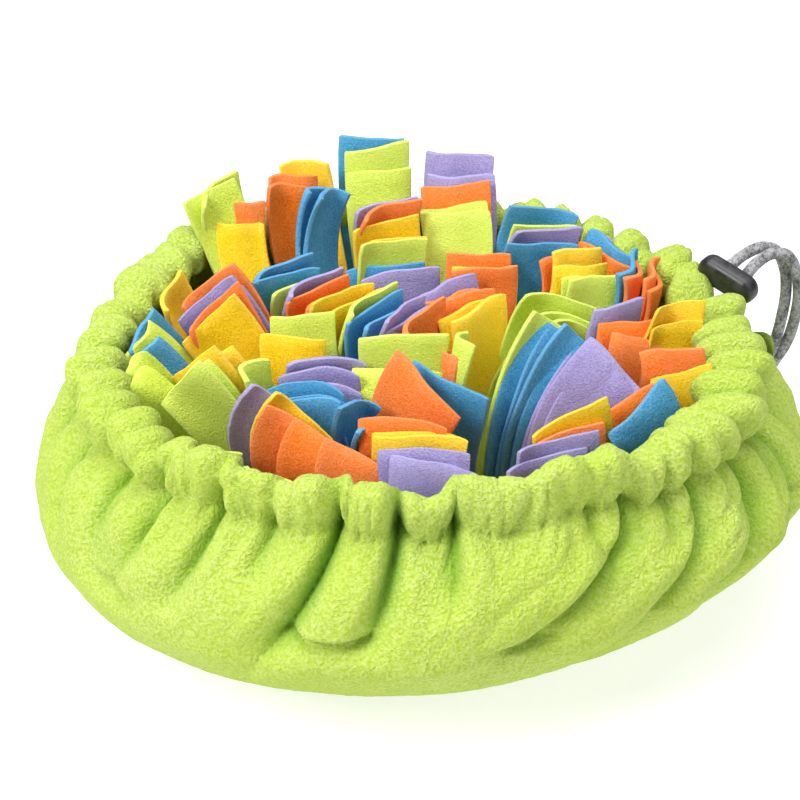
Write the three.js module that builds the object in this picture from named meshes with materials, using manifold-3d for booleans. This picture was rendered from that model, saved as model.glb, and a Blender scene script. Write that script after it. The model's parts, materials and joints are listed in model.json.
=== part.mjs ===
// Fleece snuffle bag: a round of lime fleece drawn by a cord into a soft bowl,
// with bundles of coloured fleece flaps sewn to its floor.
// Millimetres, +Z up, origin on the floor under the middle of the bag.

import * as THREE from 'three';
import { mergeVertices } from 'three/addons/utils/BufferGeometryUtils.js';
import Module from 'manifold-3d';

const wasm = await Module();
wasm.setup();

// Driving dimensions of the bag
const CLOTH = 3; // thickness of the bag's fleece
const CASING = 23; // height of the gathered hem that the drawcord runs in
const CASING_OUT = 10; // how far the gathered hem swells outside the rim line
const CASING_IN = 4; // how far it swells inside the rim line
// Shares of a gather's depth by which it pulls the hem's outer face, inner face, middle line and top
const PINCH = { outer: 0.55, inner: 0.25, middle: 0.3, top: 0.35 };
const NECK_OUT = 7; // the stitched neck under the hem lies this far outside the rim line
const AROUND = 150; // steps round the bag
const RUFFLES = 41; // small gathers round the hem
const RUFFLE_DEPTH = 1.6;
// Slow waves that make the small gathers uneven: waves round the bag, phase and swing in degrees
const RUFFLE_DRIFT = [
  { waves: 3, phase: 40, swing: 36 },
  { waves: 7, phase: 0, swing: 24 },
];
const SHOULDER = 2.6; // fullness of the shoulder between belly and neck: 1 is a straight slope
const NECK_SLOPE = { across: 0.7, down: 0.7 }; // direction of the cloth's thickness at the neck
const FOLD_WIDEN = 0.35; // a gather is wider by this share at the belly
const FOLD_SWEEP = 1.6; // a gather drifts by this power of its way down
const FOLD_FADE = 0.75; // and fades by this power of the way that is left
const QUARTER = Math.PI / 2;
const UP = new THREE.Vector3(0, 0, 1);

// Main form at each bearing in degrees, anticlockwise from +X: radius of the flat foot, roundness of the
// wall under the belly from 0 (a straight slope) to 1 (a quarter round), radius and height of the belly,
// radius and height of the rim
const SIDES = [
  { bearing: 0, foot: 110, full: 0.5, belly: 186, bellyUp: 60, rim: 152, rimUp: 118 },
  { bearing: 30, foot: 112, full: 0.5, belly: 183, bellyUp: 57, rim: 152, rimUp: 120 },
  { bearing: 60, foot: 112, full: 0.5, belly: 181, bellyUp: 54, rim: 149, rimUp: 123 },
  { bearing: 90, foot: 112, full: 0.5, belly: 180, bellyUp: 53, rim: 147, rimUp: 124 },
  { bearing: 120, foot: 116, full: 0.6, belly: 180, bellyUp: 52, rim: 149, rimUp: 125 },
  { bearing: 150, foot: 126, full: 0.75, belly: 182, bellyUp: 50, rim: 151, rimUp: 125 },
  { bearing: 180, foot: 140, full: 0.95, belly: 183, bellyUp: 47, rim: 153, rimUp: 117 },
  { bearing: 210, foot: 128, full: 0.7, belly: 184, bellyUp: 48, rim: 152, rimUp: 118 },
  { bearing: 240, foot: 115, full: 0.5, belly: 182, bellyUp: 51, rim: 147, rimUp: 123 },
  { bearing: 270, foot: 102, full: 0.5, belly: 177, bellyUp: 56, rim: 145, rimUp: 126 },
  { bearing: 300, foot: 97, full: 0.5, belly: 176, bellyUp: 61, rim: 146, rimUp: 125 },
  { bearing: 330, foot: 101, full: 0.5, belly: 184, bellyUp: 62, rim: 150, rimUp: 121 },
];

// Gathers that run down the wall from the neck: bearing at the neck, half width in degrees, depth in mm,
// reach down the wall from 0 (neck) past 1 (belly) towards 2 (floor), and drift in degrees at the belly
const FOLDS = [
  { at: 184, wide: 3.8, deep: 10, reach: 0.85, drift: 9 },
  { at: 199, wide: 3.8, deep: 11, reach: 0.85, drift: 8 },
  { at: 213, wide: 3.6, deep: 11, reach: 0.85, drift: 4 },
  { at: 225, wide: 3.4, deep: 11, reach: 0.9, drift: -6 },
  { at: 236, wide: 2.8, deep: 14, reach: 0.8, drift: -6 },
  { at: 245, wide: 2.6, deep: 8, reach: 0.4, drift: -2 },
  { at: 256, wide: 2.8, deep: 17, reach: 1.15, drift: -9 },
  { at: 265.5, wide: 2.6, deep: 17, reach: 0.9, drift: -5 },
  { at: 275, wide: 2.6, deep: 13, reach: 0.55, drift: -2 },
  { at: 297, wide: 2.4, deep: 7, reach: 0.35, drift: -2 },
  { at: 304, wide: 3.6, deep: 12, reach: 1.25, drift: -23 },
  { at: 312, wide: 2.6, deep: 8, reach: 0.45, drift: -8 },
  { at: 320, wide: 3, deep: 8, reach: 0.6, drift: -12 },
  { at: 331, wide: 3.6, deep: 12, reach: 1.3, drift: -23 },
  { at: 343, wide: 3.4, deep: 11, reach: 1.1, drift: -16 },
  { at: 353, wide: 3.6, deep: 11, reach: 1, drift: -11 },
  { at: 5, wide: 3.6, deep: 11, reach: 0.9, drift: -4 },
  { at: 40, wide: 3.8, deep: 12, reach: 1, drift: 4 },
  { at: 52, wide: 3.6, deep: 10, reach: 0.8, drift: 2 },
  { at: 63, wide: 4, deep: 13, reach: 1.1, drift: -3 },
  { at: 76, wide: 3.6, deep: 10, reach: 0.6, drift: 0 },
  { at: 88, wide: 3.8, deep: 12, reach: 1, drift: 5 },
  { at: 99, wide: 3.6, deep: 10, reach: 0.8, drift: 3 },
  { at: 111, wide: 4, deep: 13, reach: 1.1, drift: 6 },
  { at: 123, wide: 3.6, deep: 9, reach: 0.6, drift: 0 },
  { at: 136, wide: 4, deep: 13, reach: 1, drift: -4 },
  { at: 150, wide: 3.8, deep: 10, reach: 0.8, drift: 2 },
  { at: 163, wide: 4, deep: 12, reach: 1, drift: -3 },
  { at: 174, wide: 3.6, deep: 10, reach: 0.7, drift: 5 },
];

// Dip in the hem where the cord lock sits
const NOTCH = { at: 21, wide: 7, down: 9 };

// Places of the section's points on the wall under the belly, on the shoulder, and round the hem
const LOWER_OUTSIDE = [0.25, 0.47, 0.68, 0.85, 1];
const UPPER_OUTSIDE = [0.3, 0.58, 0.82, 1];
const UPPER_INSIDE = [1, 0.6];
const LOWER_INSIDE = [1, 0.7, 0.4];
const HEM_SECTION = [
  { out: 0.95, up: 0.3 },
  { out: 0.9, up: 0.72 },
  { out: 0.15, up: 1 },
  { out: -0.9, up: 0.75 },
  { out: -0.7, up: 0.3 },
];

// Driving dimensions of the flaps
const FLAP_THICK = 2.2;
const STRIP_THICK = 2; // backing strip that a bundle's flaps are sewn into
const STRIP_EDGE = 0.6; // strip left beside its flaps
const STRIP_END = 2; // strip left past its first and last flap
const SEAT = 0.3; // gap between the strips and the bag's floor
const ROOT_DEPTH = 1; // how far the flaps reach into their strip
const FLOOR_SPREAD = 0.62; // flaps draw together to this share of their spread at the floor
const SPREAD_HEIGHT = 115; // height at which the places in the table below hold

const COLOURS = { g: '#8cc63e', o: '#f2662b', y: '#fdc010', b: '#2d84bd', p: '#a08cc8' };

// Bundles of flaps, a row for each: colours in order, then place and height of the first and the last flap's
// top edge, bearing that they face, width, and the roll and backward tilt of their tops in degrees
const BUNDLE_COLUMNS = [
  'name', 'flaps', 'x', 'y', 'z', 'endX', 'endY', 'endZ', 'face', 'endFace', 'wide',
  'roll', 'endRoll', 'tilt', 'endTilt',
];
const BUNDLES = [
  ['back_left_corner', 'gg', -97, 93, 147, -96, 91, 143, -45, -45, 30, 22, 20, 2, 2],
  ['back_left_peak', 'yoo', -55, 119, 146, -65, 109, 134, -84, -64, 24, 8, -10, 4, 0],
  ['back_left_yellow', 'oy', -81, 87, 138, -83, 82, 133, -82, -82, 22, -12, -10, 8, 10],
  ['back_left_blue', 'bb', -56, 97, 141, -52, 93.5, 137, -42, -42, 30, 12, 12, 2, 2],
  ['back_tall', 'bgg', -21, 128, 154, -19, 118, 146, -92, -84, 31, -8, 6, 0, 2],
  ['back_middle', 'poyyg', -21, 106, 138, -15, 87, 124, -78, -78, 34, 4, 0, 6, 10],
  ['back_middle_front', 'bp', -16, 79, 119, -11, 72, 115, -78, -78, 36, 3, 3, 10, 14],
  ['back_right', 'ppogg', 20, 121, 150, 18, 101, 126, -93, -88, 33, 3, 6, 2, 8],
  ['far_right', 'bgpb', 61, 112, 130, 62, 94, 121, -100, -100, 34, -8, -8, 2, 6],
  ['far_right_corner', 'pbo', 98, 94, 126, 95, 88, 121, -130, -130, 28, -12, -12, 4, 4],
  ['middle_left', 'bbgpooyygbbppo', -75, 69, 119, -7, 27, 111, -66, -50, 36, 2, 4, 6, 14],
  ['middle_back', 'oyo', 30, 85, 118, 32, 75, 114, -78, -78, 30, 4, 4, 8, 8],
  ['middle_right', 'pooyy', 16, 58, 115, 28, 31, 112, -56, -56, 28, 6, 8, 6, 10],
  ['right_green', 'ggg', 67, 46, 121, 65, 32, 115, -94, -84, 36, -10, -22, 8, 12],
  ['right_back_stack', 'oyygg', 74, 80, 121, 86, 60, 115, -58, -74, 26, 4, -6, 4, 10],
  ['right_back_rim', 'booo', 108, 62, 123, 122, 56, 119, -24, -10, 26, 0, 0, -12, -14],
  ['right_fan', 'gbbbbppp', 60, -4, 114, 92, -27, 105, -54, -74, 38, -42, -54, 6, 16],
  ['right_purple', 'poo', 97, 24, 115, 110, 8, 112, -72, -80, 26, -6, -14, 8, 16],
  ['right_yellow', 'yy', 124, 33, 116, 128, 27, 112, -100, -92, 24, 14, 8, 20, 24],
  ['right_orange', 'oy', 121, -12, 111, 129, -22, 108, -86, -86, 27, 16, 20, 14, 20],
  ['right_front', 'ob', 102, -46, 108, 108, -56, 106, -80, -80, 32, 26, 40, 10, 16],
  ['front_right', 'yopp', 66, -54, 106, 56, -80, 99, -84, -84, 36, 16, 8, 12, 18],
  ['centre_green', 'gg', -9, 6, 113, -12, -14, 107, -94, -94, 38, 0, 4, 14, 26],
  ['centre_edge', 'og', 17, 0, 109, 22, 2, 113, -20, -20, 22, -20, -20, -8, -8],
  ['centre_peak', 'bo', 15, -30, 111, 2, -42, 111, -98, -100, 38, -18, -34, 8, 12],
  ['front_middle', 'oyypp', -6, -60, 109, 5, -98, 98, -92, -92, 37, 2, -14, 10, 22],
  ['front_left_purple', 'py', -70.5, -49, 111, -59.5, -55, 109, -84, -84, 32, -34, -46, 12, 12],
  ['front_left', 'ooo', -62, -68, 109, -38, -84, 104, -80, -80, 33, -30, -30, 16, 16],
  ['middle_front_left', 'pppbbb', -48, 4, 115, -57, -28, 108, -92, -98, 32, -6, 4, 10, 26],
  ['middle_front_edge', 'bb', -36, -36, 110, -30, -47, 106, -28, -28, 24, -12, -12, -6, -6],
  ['middle_left_green', 'gy', -56, 25, 115, -61, 14, 112, -92, -92, 28, 0, -8, 12, 12],
  ['left', 'oppoy', -105.5, 47, 117, -102, 24, 114, -86, -86, 33, 42, 36, 12, 20],
  ['left_front', 'yygg', -103, -10, 113, -110, -38, 111, -84, -84, 26, 36, 42, 14, 22],
  ['left_front_edge', 'g', -78, -25, 113, -78, -25, 113, -14, -14, 17, 14, 14, 0, 0],
  ['left_rim_yellow', 'y', -128, 48, 118, -128, 48, 118, -36, -36, 26, 26, 26, 6, 6],
  ['left_rim_blue', 'bgb', -130, 3, 116, -132, -9, 114, -50, -50, 22, 40, 40, 8, 8],
  ['left_rim_green', 'gg', -135.5, -22, 115, -134, -31, 114, -60, -66, 17, 44, 48, 10, 14],
  ['front_left_rim', 'gbo', -100, -74, 104, -93, -88, 100, -66, -66, 28, -20, -20, 10, 10],
  ['front_rim_middle', 'byg', -2, -121, 96, -2, -130, 92, -90, -90, 30, 4, 4, 10, 10],
  ['front_rim_right', 'ogb', 36, -112, 98, 39, -121, 94, -76, -76, 30, -6, -6, 10, 10],
  ['front_rim_left', 'pby', -37, -110, 98, -40, -119, 94, -104, -104, 30, 6, 6, 10, 10],
  ['front_rim_corner', 'go', -72, -100, 97, -75, -104, 94, -120, -120, 26, -4, -4, 8, 8],
].map((row) => Object.fromEntries(row.map((value, column) => [BUNDLE_COLUMNS[column], value])));
const FLAP_STEPS = 4;
const TOP_PULL = 1; // how strongly a flap bends over into the direction of its top
const HEIGHT_SCATTER = 4; // flaps in a bundle differ in height by up to this either way
const SIDE_SCATTER = 2;
const ROLL_SCATTER = 6;
const TILT_SCATTER = 5;
const SCATTER_STEP = { number: 0.618034, kind: 0.754878 }; // irrational steps, so that no two flaps repeat

// Driving dimensions of the drawcord and its lock
const CORD = 6;
const CORD_SIDES = 10;
const CORD_STEPS = 20;
const LOCK = { long: 33, wide: 15, thick: 10, round: 3 };
const LOCK_AT = { x: 152, y: 58, z: 117.45 };
const LOCK_TURN = { bearing: 45, rise: 12, tip: 14 };
const LOCK_CURVE = { bevel: 3, end: 8 }; // steps of the lock's rounded edges and ends
const KNOT = 9; // radius of the knot at the ends
const KNOT_LUMPS = { depth: 0.1, count: 3, twist: 3 };
const KNOT_DETAIL = 3;
const KNOT_GAP = 0.3;
const FLOOR_GAP = 0.2; // the knot lies this far above the floor

// Middle line of the two cords with the sideways step of each cord from it
const CORD_ROUTE = [
  { x: 155.95, y: 61.95, z: 118.7, sideX: 3.6, sideY: -3.24, sideZ: -1.2 },
  { x: 165, y: 71, z: 122.5, sideX: 2.8, sideY: -2.9, sideZ: -0.8 },
  { x: 174, y: 78, z: 123.5, sideX: 2.3, sideY: -2.8, sideZ: -0.4 },
  { x: 183, y: 84, z: 119, sideX: 2.3, sideY: -2.7, sideZ: 0 },
  { x: 189, y: 88, z: 108, sideX: 2.5, sideY: -2.4, sideZ: 0 },
  { x: 192, y: 91, z: 94, sideX: 2.9, sideY: -1.8, sideZ: 0 },
  { x: 192, y: 93, z: 79, sideX: 3.3, sideY: -0.7, sideZ: 0 },
  { x: 190, y: 95, z: 63, sideX: 3.3, sideY: 0.6, sideZ: -0.3 },
  { x: 185, y: 98, z: 47, sideX: 2.8, sideY: 1.9, sideZ: -0.4 },
  { x: 179, y: 103, z: 31, sideX: 2.3, sideY: 2.5, sideZ: -0.2 },
  { x: 171, y: 110, z: 17, sideX: 2.2, sideY: 2.6, sideZ: 0 },
  { x: 160, y: 119, z: 7.5, sideX: 2.1, sideY: 2.6, sideZ: 0 },
  { x: 147, y: 130, z: 3.8, sideX: 2.2, sideY: 2.6, sideZ: 0 },
  { x: 133, y: 142, z: 3.2, sideX: 2.1, sideY: 2.6, sideZ: 0 },
  { x: 118, y: 153, z: 3.2, sideX: 1.9, sideY: 2.8, sideZ: 0 },
  { x: 102, y: 163, z: 3.4, sideX: 1.8, sideY: 2.9, sideZ: 0 },
];

const MATERIALS = {
  fleece: (colour) => new THREE.MeshStandardMaterial({ color: colour, roughness: 0.95, metalness: 0 }),
  cord: new THREE.MeshStandardMaterial({ color: '#86868a', roughness: 0.9, metalness: 0 }),
  plastic: new THREE.MeshStandardMaterial({ color: '#1b1b1f', roughness: 0.45, metalness: 0 }),
};

const radians = THREE.MathUtils.degToRad;
const mix = THREE.MathUtils.lerp;

// Level unit vector at a bearing
function bearingVector(degrees) {
  return new THREE.Vector3(Math.cos(radians(degrees)), Math.sin(radians(degrees)), 0);
}

// Even scatter between -1 and 1 for a numbered piece
function scatter(number, kind) {
  const share = number * SCATTER_STEP.number + kind * SCATTER_STEP.kind;
  return 2 * (share - Math.floor(share)) - 1;
}

function turnBetween(degrees, other) {
  return THREE.MathUtils.euclideanModulo(degrees - other + 180, 360) - 180;
}

function bell(offset, halfWidth) {
  return Math.exp(-((offset / halfWidth) ** 2));
}

// One column of the table of sides at any bearing, on a smooth closed curve
function side(column, degrees) {
  const step = 360 / SIDES.length;
  const place = THREE.MathUtils.euclideanModulo(degrees, 360) / step;
  const index = Math.floor(place);
  const around = [-1, 0, 1, 2].map((shift) => SIDES[(index + shift + SIDES.length) % SIDES.length]);
  const values = around.map((row) => row[column]);
  const share = place - index;
  const slopeIn = (values[2] - values[0]) / 2;
  const slopeOut = (values[3] - values[1]) / 2;
  const square = share * share;
  const cube = square * share;
  return values[1] * (2 * cube - 3 * square + 1) + slopeIn * (cube - 2 * square + share)
    + values[2] * (3 * square - 2 * cube) + slopeOut * (cube - square);
}

// Depth of the gathers at a bearing, on the way down from the neck (0) past the belly (1) to the floor (2)
function foldDepth(degrees, way) {
  let depth = 0;
  for (const fold of FOLDS) {
    const offset = turnBetween(degrees, fold.at + fold.drift * way ** FOLD_SWEEP);
    const fade = Math.max(0, 1 - way / fold.reach) ** FOLD_FADE;
    const width = fold.wide * (1 + FOLD_WIDEN * way);
    depth += fold.deep * fade * bell(offset, width);
  }
  return depth;
}

function ruffle(degrees) {
  let phase = RUFFLES * degrees;
  for (const drift of RUFFLE_DRIFT) {
    phase += drift.swing * Math.sin(radians(drift.waves * degrees + drift.phase));
  }
  return Math.cos(radians(phase));
}

// Wall below the belly: from the foot out to the belly, part way between a quarter round and a slope
function lowerWall(degrees, share, inset) {
  const foot = side('foot', degrees);
  const belly = side('belly', degrees);
  const up = side('bellyUp', degrees);
  const turn = share * QUARTER;
  const full = side('full', degrees);
  const out = mix(share, Math.sin(turn), full);
  const rise = mix(share, 1 - Math.cos(turn), full);
  const fold = foldDepth(degrees, mix(2, 1, out)) * out;
  return {
    radius: foot + (belly - foot) * out - fold - inset * Math.sin(turn),
    height: up * rise + inset * Math.cos(turn),
  };
}

// Wall above the belly: a shoulder that draws in to the neck
function upperWall(degrees, rise, inset) {
  const belly = side('belly', degrees);
  const neck = side('rim', degrees) + NECK_OUT;
  const low = side('bellyUp', degrees);
  const high = side('rimUp', degrees) - CASING - dip(degrees);
  const fold = foldDepth(degrees, 1 - rise);
  return {
    radius: neck + (belly - neck) * (1 - rise ** SHOULDER) - fold - inset * mix(1, NECK_SLOPE.across, rise),
    height: mix(low, high, rise) - inset * NECK_SLOPE.down * rise,
  };
}

function dip(degrees) {
  return NOTCH.down * bell(turnBetween(degrees, NOTCH.at), NOTCH.wide);
}

// Gathered hem: a soft roll over the rim line, pinched at each gather
function casing(degrees, out, up) {
  const pinch = foldDepth(degrees, 0);
  const puff = RUFFLE_DEPTH * ruffle(degrees);
  const outer = CASING_OUT + puff - PINCH.outer * pinch;
  const inner = CASING_IN + puff - PINCH.inner * pinch;
  const swell = out > 0 ? outer : inner;
  return {
    radius: side('rim', degrees) + out * swell - PINCH.middle * pinch,
    height: side('rimUp', degrees) - CASING * (1 - up) - dip(degrees) + up * (puff - PINCH.top * pinch),
  };
}

// Stations of the section, from under the middle of the floor, up the outside, over the rim
// and down the inside
const STATIONS = [
  () => ({ radius: 0, height: 0 }),
  (degrees) => ({ radius: side('foot', degrees), height: 0 }),
  ...LOWER_OUTSIDE.map((share) => (degrees) => lowerWall(degrees, share, 0)),
  ...UPPER_OUTSIDE.map((rise) => (degrees) => upperWall(degrees, rise, 0)),
  ...HEM_SECTION.map((place) => (degrees) => casing(degrees, place.out, place.up)),
  ...UPPER_INSIDE.map((rise) => (degrees) => upperWall(degrees, rise, CLOTH)),
  ...LOWER_INSIDE.map((share) => (degrees) => lowerWall(degrees, share, CLOTH)),
  (degrees) => ({ radius: side('foot', degrees) - CLOTH, height: CLOTH }),
  () => ({ radius: 0, height: CLOTH }),
];

function bagShell() {
  const section = STATIONS.map((station) => {
    const point = station(0);
    return new THREE.Vector2(point.radius, point.height);
  });
  const geometry = new THREE.LatheGeometry(section, AROUND);
  const points = geometry.attributes.position;
  for (let index = 0; index < points.count; index += 1) {
    const column = Math.floor(index / STATIONS.length) % AROUND;
    const degrees = 360 * column / AROUND;
    const point = STATIONS[index % STATIONS.length](degrees);
    const outward = bearingVector(degrees);
    points.setXYZ(index, outward.x * point.radius, outward.y * point.radius, point.height);
  }
  return closedGeometry(geometry);
}

// Shared corners merged, so that the surface is closed
function closedGeometry(geometry) {
  geometry.deleteAttribute('normal');
  geometry.deleteAttribute('uv');
  const merged = mergeVertices(geometry, 1e-3);
  const corners = merged.index.array;
  const kept = [];
  for (let index = 0; index < corners.length; index += 3) {
    const [a, b, c] = [corners[index], corners[index + 1], corners[index + 2]];
    if (a !== b && b !== c && a !== c) {
      kept.push(a, b, c);
    }
  }
  merged.setIndex(kept);
  merged.computeVertexNormals();
  return merged;
}

function toSolid(geometry) {
  const closed = closedGeometry(geometry);
  const vertProperties = new Float32Array(closed.attributes.position.array);
  const triVerts = new Uint32Array(closed.index.array);
  return new wasm.Manifold(new wasm.Mesh({ numProp: 3, vertProperties, triVerts }));
}

function toGeometry(solid) {
  const mesh = solid.getMesh();
  const geometry = new THREE.BufferGeometry();
  geometry.setAttribute('position', new THREE.BufferAttribute(new Float32Array(mesh.vertProperties), 3));
  geometry.setIndex(Array.from(mesh.triVerts));
  geometry.computeVertexNormals();
  return geometry;
}

function spread(height) {
  return mix(FLOOR_SPREAD, 1, height / SPREAD_HEIGHT);
}

// Point above the floor for a place in the table, drawn in towards the middle lower down
function flowPoint(x, y, height) {
  return new THREE.Vector3(x * spread(height), y * spread(height), height);
}

const STRIP_TOP = CLOTH + SEAT + STRIP_THICK;
const FLAP_ROOT = STRIP_TOP - ROOT_DEPTH;

// One flap on a curve that leaves its strip upright and bends over into the roll and tilt of its top
function flap(bundle, number, count, seed) {
  const share = count > 1 ? number / (count - 1) : 0.5;
  const between = (first, last) => mix(bundle[first], bundle[last], share);
  const [x, y] = [between('x', 'endX'), between('y', 'endY')];
  const facing = between('face', 'endFace');
  const roll = radians(between('roll', 'endRoll') + ROLL_SCATTER * scatter(seed, 3));
  const tilt = radians(between('tilt', 'endTilt') + TILT_SCATTER * scatter(seed, 4));
  const across = bearingVector(facing + 90);
  const upward = UP.clone().multiplyScalar(Math.cos(tilt));
  upward.addScaledVector(bearingVector(facing), -Math.sin(tilt));
  const topAlong = upward.clone().multiplyScalar(Math.cos(roll)).addScaledVector(across, -Math.sin(roll));
  const topAcross = across.clone().multiplyScalar(Math.cos(roll)).addScaledVector(upward, Math.sin(roll));
  const root = flowPoint(x, y, FLAP_ROOT);
  const top = flowPoint(x, y, between('z', 'endZ') + HEIGHT_SCATTER * scatter(seed, 1));
  top.addScaledVector(across, SIDE_SCATTER * scatter(seed, 2));
  const third = root.distanceTo(top) / 3;
  const low = root.clone().addScaledVector(UP, third);
  const high = top.clone().addScaledVector(topAlong, -third * TOP_PULL);
  const curve = new THREE.CubicBezierCurve3(root, low, high, top);
  const geometry = new THREE.BoxGeometry(1, 1, 1, 1, 1, FLAP_STEPS);
  const points = geometry.attributes.position;
  for (let index = 0; index < points.count; index += 1) {
    const rise = points.getZ(index) + 0.5;
    const along = curve.getTangent(rise);
    const width = across.clone().lerp(topAcross, rise * rise).projectOnPlane(along).normalize();
    const through = new THREE.Vector3().crossVectors(along, width);
    const point = curve.getPoint(rise);
    point.addScaledVector(width, points.getX(index) * bundle.wide * mix(FLOOR_SPREAD, 1, rise));
    point.addScaledVector(through, points.getY(index) * FLAP_THICK);
    points.setXYZ(index, point.x, point.y, point.z);
  }
  return geometry;
}

// Narrow strip under a bundle's roots, just clear of the bag's floor
function backingStrip(bundle) {
  const scale = spread(FLAP_ROOT);
  const start = new THREE.Vector3(bundle.x * scale, bundle.y * scale, 0);
  const end = new THREE.Vector3(bundle.endX * scale, bundle.endY * scale, 0);
  const face = bearingVector(bundle.face);
  const across = bearingVector(bundle.face + 90);
  start.addScaledVector(face, -STRIP_END);
  end.addScaledVector(face, STRIP_END);
  const wide = bundle.wide * FLOOR_SPREAD + 2 * STRIP_EDGE;
  const geometry = new THREE.BoxGeometry(1, wide, STRIP_THICK);
  const points = geometry.attributes.position;
  for (let index = 0; index < points.count; index += 1) {
    const point = start.clone().lerp(end, points.getX(index) + 0.5);
    point.addScaledVector(across, points.getY(index));
    points.setXYZ(index, point.x, point.y, STRIP_TOP - STRIP_THICK / 2 + points.getZ(index));
  }
  return geometry;
}

function flapBundle(bundle, seed) {
  let solid = toSolid(backingStrip(bundle));
  for (let number = 0; number < bundle.flaps.length; number += 1) {
    solid = solid.add(toSolid(flap(bundle, number, bundle.flaps.length, seed + number)));
  }
  return toGeometry(solid);
}

// Flat oval lock with softly rounded faces
function cordLock() {
  const oval = new THREE.Shape();
  const half = LOCK.wide / 2 - LOCK.round;
  const reach = LOCK.long / 2 - LOCK.wide / 2;
  oval.absarc(reach, 0, half, -QUARTER, QUARTER, false);
  oval.absarc(-reach, 0, half, QUARTER, 3 * QUARTER, false);
  oval.closePath();
  const geometry = new THREE.ExtrudeGeometry(oval, {
    depth: LOCK.thick - 2 * LOCK.round,
    bevelEnabled: true,
    bevelThickness: LOCK.round,
    bevelSize: LOCK.round,
    bevelSegments: LOCK_CURVE.bevel,
    curveSegments: LOCK_CURVE.end,
  });
  geometry.translate(0, 0, -(LOCK.thick - 2 * LOCK.round) / 2);
  return closedGeometry(geometry);
}

// Turn that lays the lock's length along the rim and points its face outward and up
function lockTurn() {
  const outward = bearingVector(LOCK_TURN.bearing).multiplyScalar(Math.cos(radians(LOCK_TURN.rise)));
  outward.z = Math.sin(radians(LOCK_TURN.rise));
  const along = bearingVector(LOCK_TURN.bearing - 90);
  const upward = new THREE.Vector3().crossVectors(outward, along);
  const basis = new THREE.Matrix4().makeBasis(along, upward, outward);
  const tip = new THREE.Matrix4().makeRotationZ(radians(LOCK_TURN.tip));
  return new THREE.Quaternion().setFromRotationMatrix(basis.multiply(tip));
}

function cordCurve(way) {
  const points = CORD_ROUTE.map((row) => new THREE.Vector3(
    row.x + way * row.sideX,
    row.y + way * row.sideY,
    row.z + way * row.sideZ,
  ));
  return new THREE.CatmullRomCurve3(points);
}

function cordTube(way) {
  const section = new THREE.Shape();
  for (let corner = 0; corner < CORD_SIDES; corner += 1) {
    const turn = 2 * Math.PI * corner / CORD_SIDES;
    const [x, y] = [CORD / 2 * Math.cos(turn), CORD / 2 * Math.sin(turn)];
    if (corner === 0) {
      section.moveTo(x, y);
    } else {
      section.lineTo(x, y);
    }
  }
  section.closePath();
  const geometry = new THREE.ExtrudeGeometry(section, {
    steps: CORD_STEPS,
    extrudePath: cordCurve(way),
    bevelEnabled: false,
  });
  return closedGeometry(geometry);
}

// Overhand knot that holds the two ends together: a lumpy ball, flat where it lies
function cordKnot() {
  const geometry = new THREE.IcosahedronGeometry(KNOT, KNOT_DETAIL);
  const points = geometry.attributes.position;
  const end = CORD_ROUTE[CORD_ROUTE.length - 1];
  const before = CORD_ROUTE[CORD_ROUTE.length - 2];
  const way = new THREE.Vector3(end.x - before.x, end.y - before.y, 0).normalize();
  const middle = new THREE.Vector3(end.x, end.y, 0).addScaledVector(way, KNOT + KNOT_GAP);
  for (let index = 0; index < points.count; index += 1) {
    const [x, y, z] = [points.getX(index), points.getY(index), points.getZ(index)];
    const turn = KNOT_LUMPS.count * Math.atan2(y, z) + KNOT_LUMPS.twist * x / KNOT;
    const lump = 1 + KNOT_LUMPS.depth * Math.sin(turn);
    const height = Math.max(FLOOR_GAP, KNOT * (1 - KNOT_LUMPS.depth) + z * lump);
    points.setXYZ(index, middle.x + x * lump, middle.y + y * lump, height);
  }
  return closedGeometry(geometry);
}

function piece(name, geometry, material) {
  const mesh = new THREE.Mesh(geometry, material);
  mesh.name = name;
  return mesh;
}

const snuffleBag = new THREE.Group();
snuffleBag.add(piece('bag_shell', bagShell(), MATERIALS.fleece(COLOURS.g)));

let seed = 0;
for (const bundle of BUNDLES) {
  const colour = COLOURS[bundle.flaps[Math.floor(bundle.flaps.length / 2)]];
  snuffleBag.add(piece(`flaps_${bundle.name}`, flapBundle(bundle, seed), MATERIALS.fleece(colour)));
  seed += bundle.flaps.length;
}

const lock = piece('cord_lock', cordLock(), MATERIALS.plastic);
lock.position.set(LOCK_AT.x, LOCK_AT.y, LOCK_AT.z);
lock.quaternion.copy(lockTurn());
snuffleBag.add(lock);
snuffleBag.add(piece('cord_front', cordTube(1), MATERIALS.cord));
snuffleBag.add(piece('cord_back', cordTube(-1), MATERIALS.cord));
snuffleBag.add(piece('cord_knot', cordKnot(), MATERIALS.cord));

export default snuffleBag;
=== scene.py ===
"""Fleece snuffle bag: a round of lime fleece drawn up into a soft bowl, full of coloured fleece flaps."""

import json
import math
from collections import namedtuple

import bpy
import numpy as np
from mathutils import Matrix, Vector, noise

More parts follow.
